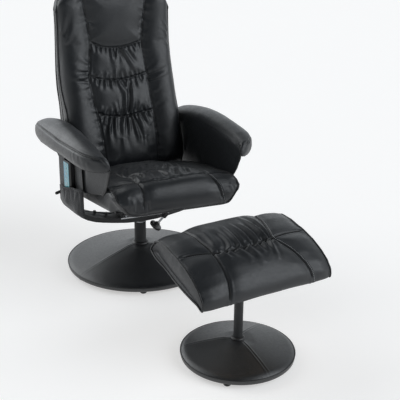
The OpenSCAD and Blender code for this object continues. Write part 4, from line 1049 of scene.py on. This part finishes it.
# ------------------------------------------------------------------ arms
ARM_ZIN = [(-384, 517), (-378, 503), (-366, 485), (-353, 461), (-330, 434), (-295, 404), (37, 341), (155, 336)]
ARM_TOP = [(-384, 536), (-380, 545), (-374, 553), (-364, 559), (-340, 565), (-300, 572), (-237, 577), (-160, 580), (-80, 580), (0, 577), (80, 569), (150, 559), (200, 550), (230, 543), (250, 531), (259, 517)]
ARM_SEAMZ = [(-384, 529), (-380, 538), (-374, 546), (-364, 551), (-352, 554), (-326, 557), (-285, 558), (-240, 557), (-205, 555), (-127, 552), (-80, 552), (0, 551), (80, 548), (150, 542), (200, 535), (230, 528), (250, 519), (259, 511)]
ARM_PADZ = [(-384, 516), (-378, 509), (-352, 505.5), (-239, 504.5), (-165, 504), (-100, 503.5), (-60, 499), (0, 494), (110, 485), (200, 479), (240, 479), (259, 490)]
ARM_OUT = [(-384, 238), (-378, 248), (-370, 258), (-352, 277), (-338, 287), (-324, 295), (-306, 302), (-288, 306.5), (-264, 310.5), (-240, 314), (-158, 323), (-80, 331), (0, 336.5), (60, 339), (120, 339), (170, 337.5), (198, 334), (212, 330), (226, 323), (238, 314), (246, 304), (253, 290), (259, 268)]
ARM_FIN = [(404, -295), (432, -328), (460, -354), (488, -370), (505, -376)]
ARM_FOUT = [(390, -218), (430, -232), (470, -254), (502, -268)]


def tab(t, y):
    t = np.asarray(t, float)
    return np.interp(y, t[:, 0], t[:, 1])


def body_x(y, z):
    yi = np.interp(z, [a for a, _ in ARM_FIN], [b for _, b in ARM_FIN])
    yo = np.interp(z, [a for a, _ in ARM_FOUT], [b for _, b in ARM_FOUT])
    x = np.where(y < yo, 224 + 42 * np.clip((y - yi) / (yo - yi), 0, 1), 266 + 18.5 * np.clip((y - yo) / (26 - yo), 0, 1))
    return np.where(y > 37, 284.5 - 48 * (y - 37) / 118.0, x)


def arm_section(y):
    """Closed outline (X, z) of one arm at a place along it, 90 points from the inner bottom round over the top."""
    top, sz, pz, xo = tab(ARM_TOP, y), tab(ARM_SEAMZ, y), tab(ARM_PADZ, y), tab(ARM_OUT, y)
    has = y < 156.5
    zb = tab(ARM_ZIN, y) if has else pz + 1.0
    w = xo - 224.0
    seam_x = xo - min(7.0, 0.25 * w)
    r = min(44.0, 0.42 * w)
    drop_r = min(46.0, 0.75 * (top - pz))
    B = (224.0, max(top - drop_r, zb + 1.5))
    h = top - B[1]
    arc = [(224.0, B[1]), (224.0 + 0.035 * r, B[1] + 0.32 * h), (224.0 + 0.16 * r, B[1] + 0.60 * h), (224.0 + 0.42 * r, B[1] + 0.83 * h), (224.0 + 0.80 * r, B[1] + 0.95 * h),
           (224.0 + r + 0.12 * w, top), (224.0 + r + 0.5 * (w - r), top - 0.16 * (top - sz)), (224.0 + r + 0.8 * (w - r) - 3, sz + 0.5 * (top - sz)), (seam_x, sz)]
    zm = (sz + pz) / 2
    band = [(seam_x, sz), (xo - 1.2, sz - 0.22 * (sz - pz)), (xo, zm), (xo - 2.5, pz + 0.24 * (sz - pz)), (xo - min(11.0, 0.3 * w), pz)]
    inner = np.stack([np.full(14, 224.0), np.linspace(zb, B[1], 14)], -1)
    over = smooth_path(arc, 30)[1:]
    out = smooth_path(band, 16)[1:]
    zt, zj = pz + 2.5, (zb + 3.0 if has else pz + 2.0)
    zz = np.linspace(zt, min(zj, zt - 0.2), 16)
    bx = body_x(np.full(16, float(y)), zz) if has else np.full(16, 224 + 0.55 * w)
    bx = np.minimum(bx, xo - min(14.0, 0.4 * w))
    x_in = bx[0]
    under = np.stack([np.linspace(out[-1, 0], x_in, 6)[1:], np.linspace(pz, zt, 6)[1:]], -1)
    face = np.stack([bx, zz], -1)[1:]
    bot = np.stack([np.linspace(face[-1, 0], 224.0, 8)[1:-1], np.linspace(face[-1, 1], zb, 8)[1:-1]], -1)
    return np.concatenate([inner, over, out, under, face, bot])


def arm(side, names):
    ys = np.r_[np.linspace(-383, -340, 11), np.linspace(-334, 150, 82), 154.5, 155.5, 157.0, 159.0, np.linspace(165, 245, 15), 250, 254, 257.5]
    rows = []
    for y in ys:
        s = arm_section(y)
        rows.append(np.stack([s[:, 0], np.full(len(s), y), s[:, 1]], -1))
    for end, dy in ((0, -1.0), (-1, 1.2)):
        e = rows[end]
        c = e.mean(0)
        for f, g in ((0.15, 0.7), (0.4, 1.3), (0.7, 1.6), (1.0, 1.7)):
            r = e * (1 - f) + c * f
            r[:, 1] = e[0, 1] + dy * g
            rows.insert(0, r) if end == 0 else rows.append(r)
    V = np.array(rows)
    K = V.shape[1]
    F = grid_faces(V.shape[0], K, wrap_v=True)
    V = V.reshape(-1, 3)

    def on_seam(y):
        xo = float(tab(ARM_OUT, y))
        return (xo - min(7.0, 0.25 * (xo - 224)), y, float(tab(ARM_SEAMZ, y)))

    rear = np.array([(226, 252, 519), (240, 253.5, 520), (262, 251.5, 520), (282, 247, 522)], float)
    outer = np.array([on_seam(y) for y in (238, 228, 212, 196, 170, 140, 100, 60, 0, -40, -80, -127, -165, -205, -240, -270, -297, -320, -338, -352, -362)])
    seam = np.r_[rear, outer, [(243.0, -370.5, 549.5), (235.0, -371.5, 547.5), (229.0, -367.5, 545.0), (225.2, -360.0, 541.5)]]
    front = np.array([(225.2, -360.0, 541.5), (224.6, -369, 538), (224.6, -376, 531), (224.8, -379.5, 521), (224.8, -379.5, 512), (224.6, -376, 502), (224.2, -367, 486), (224.2, -354, 461.5), (224.2, -331, 434.5), (224.2, -312, 418), (224.2, -296, 405)])
    low = np.array([(tab(ARM_OUT, y) - min(11.0, 0.3 * (tab(ARM_OUT, y) - 224)), y, tab(ARM_PADZ, y)) for y in (236, 220, 200, 150, 100, 0, -80, -158, -240, -290, -324, -348, -366, -376)])
    seams = [smooth_path(seam, 180), smooth_path(front, 60)]
    lows = [smooth_path(low, 160)]

    def pins(V):
        w = np.zeros(len(V))
        w[V[:, 0] < 225.5] = 1
        w[nearest_seam(V, seams + lows) < 6.0] = 1
        w[V[:, 2] < tab(ARM_PADZ, V[:, 1]) + 3.5] = 1
        return w

    V, F = cloth(V, F, pins, cap=4.0, pressure=3.0)
    V, F = subdivide(V, F, 1)
    Nn = normals(V, F)
    d = nearest_seam(V, seams)
    h = seam_relief(d, 3.0, 2.6, 0.9) + seam_relief(nearest_seam(V, lows), 2.2, 1.6, 0.6) + 0.5 * waves(V, 61 + side, 120, 1.0)
    pad = V[:, 2] > tab(ARM_PADZ, V[:, 1]) + 4
    items = [(-260, 548, -280, 512, 9, 1.4), (-300, 546, -318, 514, 8, -1.3), (-340, 536, -350, 512, 7, 1.2), (230, 520, 200, 500, 8, 1.4), (190, 540, 160, 512, 10, -1.0)]
    h += strokes(V[:, 1], V[:, 2], items) * (V[:, 0] > 262)
    inner_items = [(-340, 470, -250, 500, 14, 1.2), (-300, 420, -200, 455, 16, -1.2), (-60, 380, 20, 420, 18, 1.0), (100, 400, 60, 480, 16, -1.0)]
    flat = V[:, 0] < 226.5
    h = np.where(flat, np.minimum(0, strokes(V[:, 1], V[:, 2], inner_items) - 0.6) + seam_relief(nearest_seam(V, seams[1:]), 2.6, 1.2, 0.0), h)
    V = V + Nn * h[:, None]
    flip = np.array([side, 1, 1.0])
    tag = "left" if side > 0 else "right"
    finish_soft("arm_cover_" + tag, V * flip, F, "leather", "chair_seat", "chair", names)
    tube("arm_top_piping_" + tag, snap(smooth_path(seam, 150), V) * flip, 2.5, "piping", "chair_seat", k=10, n=260)
    tube("arm_front_piping_" + tag, snap(smooth_path(front, 60), V, span=5) * flip, 2.7, "piping", "chair_seat", k=10, n=120)
    tube("arm_low_piping_" + tag, snap(smooth_path(low, 120), V) * flip + np.array([0, 0, -0.4]), 1.6, "piping", "chair_seat", k=8, n=240)


arm(1, ("arm_pad_left", "arm_body_left"))
arm(-1, ("arm_pad_right", "arm_body_right"))


# ------------------------------------------------------------------ side pocket
PK_A = math.radians(3.2)


def pocket_to_chair(P):
    P = np.asarray(P, float)
    x, y = -P[..., 0], P[..., 1]
    return np.stack([x * math.cos(PK_A) - y * math.sin(PK_A) - 286.0, x * math.sin(PK_A) + y * math.cos(PK_A) + 37.0, P[..., 2]], -1)


def pocket():
    nu, nv = 150, 74
    u, v = np.meshgrid(np.linspace(0, 1, nu), np.linspace(0, 1, nv), indexing="ij")
    y = -2 - 262 * u
    bottom = np.interp(y, [-266, -255, -200, -120, -64, -20, 0], [316, 307, 300.5, 293.5, 288.5, 288, 296])
    mouth = np.interp(y, [-268, -215, -165, -115, -60, -6, 0], [409, 402, 391, 379, 362, 345, 344])
    z = bottom + (mouth - bottom) * v
    plan = np.interp(y, [-266, -259, -245, -228, -90, -56, -24, -4, 0], [2.6, 9, 15, 17.5, 17.5, 14, 8, 3.4, 2.6])
    close = np.sqrt(np.clip(1 - (1 - np.clip(v / 0.20, 0, 1)) ** 2, 0, 1))
    x = 2.6 + (plan - 2.6) * (0.12 + 0.88 * close)
    x += 17.5 * np.exp(-((y + 155) / 50.0) ** 2) * smoothstep(0.12, 0.5, v)
    x += 3.0 * np.sin(math.pi * np.clip(v * 1.25, 0, 1)) * smoothstep(-262, -235, y) * smoothstep(-2, -40, y)
    rng = np.random.default_rng(71)
    hem = np.exp(-((v - 0.97) / 0.035) ** 2)
    gather, s = np.zeros_like(y), -6.0
    while s > -258:
        amp, wd, ln = rng.uniform(0.9, 2.0), rng.uniform(2.6, 4.0), rng.uniform(0.16, 0.5)
        k = np.clip((0.94 - v) / ln, 0, 1)
        lean = rng.uniform(-14, 14)
        gather += amp * np.exp(-((y - s - lean * k * ln * 2) / (wd * (1 + 1.4 * k))) ** 2) * (1 - k) ** 0.8
        s -= rng.uniform(6.5, 11.5)
    x += (gather - 1.0) * smoothstep(0.25, 0.6, v) * (1 - 0.6 * hem) - 1.2 * np.exp(-((v - 0.91) / 0.025) ** 2)
    x += 1.0 * hem
    folds = strokes(y, z, [(-150, 386, -122, 330, 8, 3.0), (-170, 388, -150, 320, 7, -2.2), (-205, 396, -214, 340, 8, 2.2), (-60, 358, -80, 316, 9, 2.2), (-250, 392, -236, 330, 8, -1.8), (-100, 372, -96, 322, 8, -1.8), (-20, 300, -60, 320, 9, 1.8), (-255, 312, -210, 330, 9, 1.8)])
    x += folds * smoothstep(0, 0.12, v)
    x = np.maximum(x, 2.4)
    outer = np.stack([x, y, z], -1)
    inner = outer.copy()
    inner[..., 0] = np.maximum(inner[..., 0] - 1.3, 1.3)
    V, F, _, _ = pillow(outer, inner, 1, 0.0)
    bag = make("side_pocket_bag", pocket_to_chair(V), F, "pocket", "chair_seat", replaces=("side_pocket",))
    rim = outer[:, -1] - [0.65, 0, 0.6]
    tube("side_pocket_elastic", pocket_to_chair(rim), 1.9, "pocket", "chair_seat", k=10, n=320, flat=1.25)
    yy, zz = np.meshgrid(np.linspace(-265, -1, 90), np.linspace(0, 1, 60), indexing="ij")
    z0 = np.interp(yy, [-266, -255, -200, -120, -64, -20, 0], [317, 309, 302, 295, 290, 290, 298])
    z1 = np.interp(yy, [-268, 0], [487, 480])
    Z = z0 + (z1 - z0) * zz
    wob = 0.45 * np.sin(yy / 23.0 + Z / 41.0) + 0.3 * np.sin(yy / 11.0 - Z / 17.0)
    bow = 0.0 + 1.4 * smoothstep(-150, -265, yy) * smoothstep(400, 480, Z)
    A = np.stack([2.3 + bow + 0.5 * wob, yy, Z], -1)
    Bk = np.stack([1.0 + bow + 0.3 * wob, yy, Z], -1)
    V, F, _, _ = pillow(A, Bk, 1, 0.0)
    make("side_pocket_back_sheet", pocket_to_chair(V), F, "pocket", "chair_seat")
    edge = np.r_[outer[0, ::-1], outer[1:, 0], outer[-1, 1:]]
    row = edge[::1] + np.array([0.4, 0, 0])
    row = row[(row[:, 2] > 300) | True]
    tube("side_pocket_binding", pocket_to_chair(row), 1.4, "pocket", "chair_seat", k=8, n=300)
    return bag


pocket()


# ------------------------------------------------------------------ covered bases
def base_cover(name, R, H, r0, seams, body, where, node, core_drop, creases, prof=None, amp0=14.5):
    """Three sewn panels stretched over a dish, with a ridge seam between them and a rolled rim."""
    na, nr = 360, 60
    th = np.linspace(0, 2 * math.pi, na, endpoint=False)
    prof_r = np.array([r0, R * 0.19, R * 0.44, R * 0.73, R * 0.955, R - 1.5])
    prof_z = np.array([H - 0.5, H - 3.2, H * 0.765, H * 0.54, H * 0.375, 28.0])
    if prof:
        prof_r, prof_z = np.array(prof, float).T
    rr = np.r_[np.linspace(r0, R - 1.5, nr)]
    zz = np.interp(rr, prof_r, prof_z)
    for _ in range(6):
        zz[1:-1] = 0.25 * zz[:-2] + 0.5 * zz[1:-1] + 0.25 * zz[2:]
    V = []
    phase = np.array([min(abs((a - math.radians(s) + math.pi) % (2 * math.pi) - math.pi) for s in seams) for a in th])  # angle to the nearest seam
    phi = np.radians(60) - phase
    fac = (1 - np.cos(phi)) / (1 - math.cos(math.radians(60)))
    for r, z in zip(rr, zz):
        t = r / R
        amp = amp0 * t ** 0.8 * (1 - t ** 3.2)
        dist = r * phase
        stitch = -0.9 * np.exp(-(dist / 1.6) ** 2) + 0.7 * np.exp(-((dist - 4.5) / 2.2) ** 2)
        dz = amp * (fac - 0.30) + stitch * smoothstep(r0, r0 + 25, r)
        for q in creases:
            dz = dz + q[3] * np.exp(-(((th - math.radians(q[0]) + math.pi) % (2 * math.pi) - math.pi) * r / q[1]) ** 2) * math.exp(-((r - q[2]) / q[4]) ** 2)
        V.append(np.stack([r * np.cos(th), r * np.sin(th), np.maximum(z + dz, z - core_drop)], -1))
    # rolled rim
    for r, z in ((R - 0.2, 25.5), (R, 22.5), (R, 18.5), (R - 0.8, 15.0), (R - 3.0, 12.4), (R - 8.0, 12.0), (R - 17.0, 12.0), (R - 17.6, 14.5)):
        V.append(np.stack([r * np.cos(th), r * np.sin(th), np.full(na, z)], -1))
    V = np.array(V)
    F = grid_faces(V.shape[0], na, wrap_v=True)
    o = make(name, V.reshape(-1, 3), F, "leather_base", body, where, replaces=(node,))
    k = np.linspace(0, 2 * math.pi, 160, endpoint=False)
    tube(name + "_rim_piping", np.stack([(R - 0.6) * np.cos(k), (R - 0.6) * np.sin(k), np.full(160, 27.2)], -1)[::4], 2.1, "piping", body, where, closed=True, k=8, n=240)
    return o


base_cover("chair_base_cover_sewn", 275.0, 88.0, 22.6, (-162, -42, 78), "chair_base", "chair", "base_cover", 3.4,
           [(-120, 26, 60, 1.2, 30), (-80, 20, 55, -0.9, 26), (-20, 24, 62, 1.0, 30), (20, 20, 58, -0.8, 26), (120, 24, 60, 1.0, 28), (170, 18, 52, 0.8, 24)])


def stool_base():
    R, H = 174.0, 67.0
    base_cover("footstool_base_cover_sewn", R, H, 14.6, (29.2, 149.2, 269.2), "footstool", "stool", "stool_cover", 3.2,
               [(-150, 18, 40, 1.0, 22), (-60, 14, 38, -0.7, 18), (80, 16, 42, 0.8, 20), (200, 14, 36, 0.7, 18)],
               [(14.6, 67), (20, 67), (0.3 * R, 62.8), (0.6 * R, 49.8), (0.94 * R, 34.8), (R - 1.5, 28)], 11.5)


stool_base()

# ------------------------------------------------------------------ camera, light, floor
F_PX, PITCH, CAM_H, CX, CY, ROLL, AZ = 785.50252, math.radians(20.48), 1285.88, 198.75, 200.0, 0.00977, math.radians(23.36)
CAM_X, CAM_Y = -887.35, -2610.68
fw = np.array([math.sin(AZ) * math.cos(PITCH), math.cos(AZ) * math.cos(PITCH), -math.sin(PITCH)])
rt = np.array([math.cos(AZ), -math.sin(AZ), 0.0])
up = np.cross(rt, fw)
r2 = math.cos(ROLL) * rt + math.sin(ROLL) * up
u2 = math.cos(ROLL) * up - math.sin(ROLL) * rt
cam_data = bpy.data.cameras.new("camera")
cam_data.sensor_width = 36.0
cam_data.lens = F_PX / 400.0 * 36.0
cam_data.shift_x = (200.0 - CX) / 400.0
cam_data.shift_y = (CY - 200.0) / 400.0
cam_data.clip_end = 100.0
cam = bpy.data.objects.new("camera", cam_data)
SC.collection.objects.link(cam)
cam.matrix_world = Matrix(((r2[0], u2[0], -fw[0], CAM_X * MM), (r2[1], u2[1], -fw[1], (CAM_Y + 297.0) * MM), (r2[2], u2[2], -fw[2], CAM_H * MM), (0, 0, 0, 1)))
SC.camera = cam


def area(name, loc, target, size, power, color=(1, 1, 1), size_y=None):
    d = bpy.data.lights.new(name, "AREA")
    d.energy = power
    d.color = color
    d.size = size
    if size_y:
        d.shape = "RECTANGLE"
        d.size_y = size_y
    o = bpy.data.objects.new(name, d)
    SC.collection.objects.link(o)
    o.location = loc
    o.rotation_euler = (Vector(target) - Vector(loc)).to_track_quat("-Z", "Y").to_euler()
    return o


def sun(name, to_light, strength, angle, color=(1, 1, 1)):
    d = bpy.data.lights.new(name, "SUN")
    d.energy = strength
    d.angle = math.radians(angle)
    d.color = color
    o = bpy.data.objects.new(name, d)
    SC.collection.objects.link(o)
    o.rotation_euler = Vector(to_light).to_track_quat("Z", "Y").to_euler()
    return o


FH = np.array([math.sin(AZ), math.cos(AZ), 0.0])
LH = np.array([-math.cos(AZ), math.sin(AZ), 0.0])
sun("soft_key", tuple(-0.92 * LH - 0.36 * FH + np.array([0, 0, 0.60])), 1.85, 56, (0.92, 0.96, 1.0))
sun("soft_back", tuple(0.78 * LH + 0.44 * FH + np.array([0, 0, 0.55])), 1.15, 58, (0.97, 0.99, 1.0))

world = bpy.data.worlds.new("studio")
world.use_nodes = True
wt = world.node_tree
wn, wl = wt.nodes, wt.links


def wnode(kind, **kw):
    n = wn.new(kind)
    for a, b in kw.items():
        setattr(n, a, b)
    return n


def along(axis):
    n = wnode("ShaderNodeVectorMath", operation="DOT_PRODUCT")
    wl.new(wtc.outputs["Generated"], n.inputs[0])
    n.inputs[1].default_value = axis
    return n.outputs["Value"]


def ramp_to(src, a, b, c, d):
    n = wnode("ShaderNodeMapRange", interpolation_type="SMOOTHSTEP")
    wl.new(src, n.inputs["Value"])
    for k, v in zip(("From Min", "From Max", "To Min", "To Max"), (a, b, c, d)):
        n.inputs[k].default_value = v
    return n.outputs["Result"]


def wmath(op, a, b):
    n = wnode("ShaderNodeMath", operation=op)
    for k, v in enumerate((a, b)):
        if isinstance(v, float):
            n.inputs[k].default_value = v
        else:
            wl.new(v, n.inputs[k])
    return n.outputs["Value"]


wtc = wnode("ShaderNodeTexCoord")
w_low = ramp_to(along((0, 0, 1)), 0.1, 0.9, 1.0, 0.20)
w_back = wmath("MULTIPLY", ramp_to(along(tuple(FH)), -0.1, 0.8, 0.0, 0.86), w_low)
w_left = wmath("MULTIPLY", ramp_to(along(tuple(LH)), 0.1, 0.95, 0.0, 0.60), w_low)
w_sum = wmath("ADD", wmath("ADD", w_back, w_left), 0.12)
w_sum = wmath("MAXIMUM", w_sum, ramp_to(along((0, 0, 1)), 0.03, 0.15, 0.88, 0.0))
wl.new(w_sum, wn["Background"].inputs["Strength"])
wn["Background"].inputs["Color"].default_value = (0.92, 0.965, 1.0, 1)
SC.world = world

fl = bpy.data.meshes.new("floor")
fl.from_pydata([(-30, -30, 0), (30, -30, 0), (30, 30, 0), (-30, 30, 0)], [], [(0, 1, 2, 3)])
kf = Mat("floor_paper", (0.60, 0.60, 0.60), 0.9, spec=0.0)
kf.color(kf.ramp(kf.noise(2.0, 2.0), [(0.3, (0.598, 0.598, 0.598)), (0.7, (0.602, 0.602, 0.602))]))
kf.b.inputs["Emission Color"].default_value = (1.0, 0.99, 0.98, 1)
kf.b.inputs["Emission Strength"].default_value = 0.488
fl.materials.append(kf.m)
floor = bpy.data.objects.new("floor", fl)
SC.collection.objects.link(floor)
SC.view_settings.view_transform = "Standard"
SC.view_settings.look = "None"
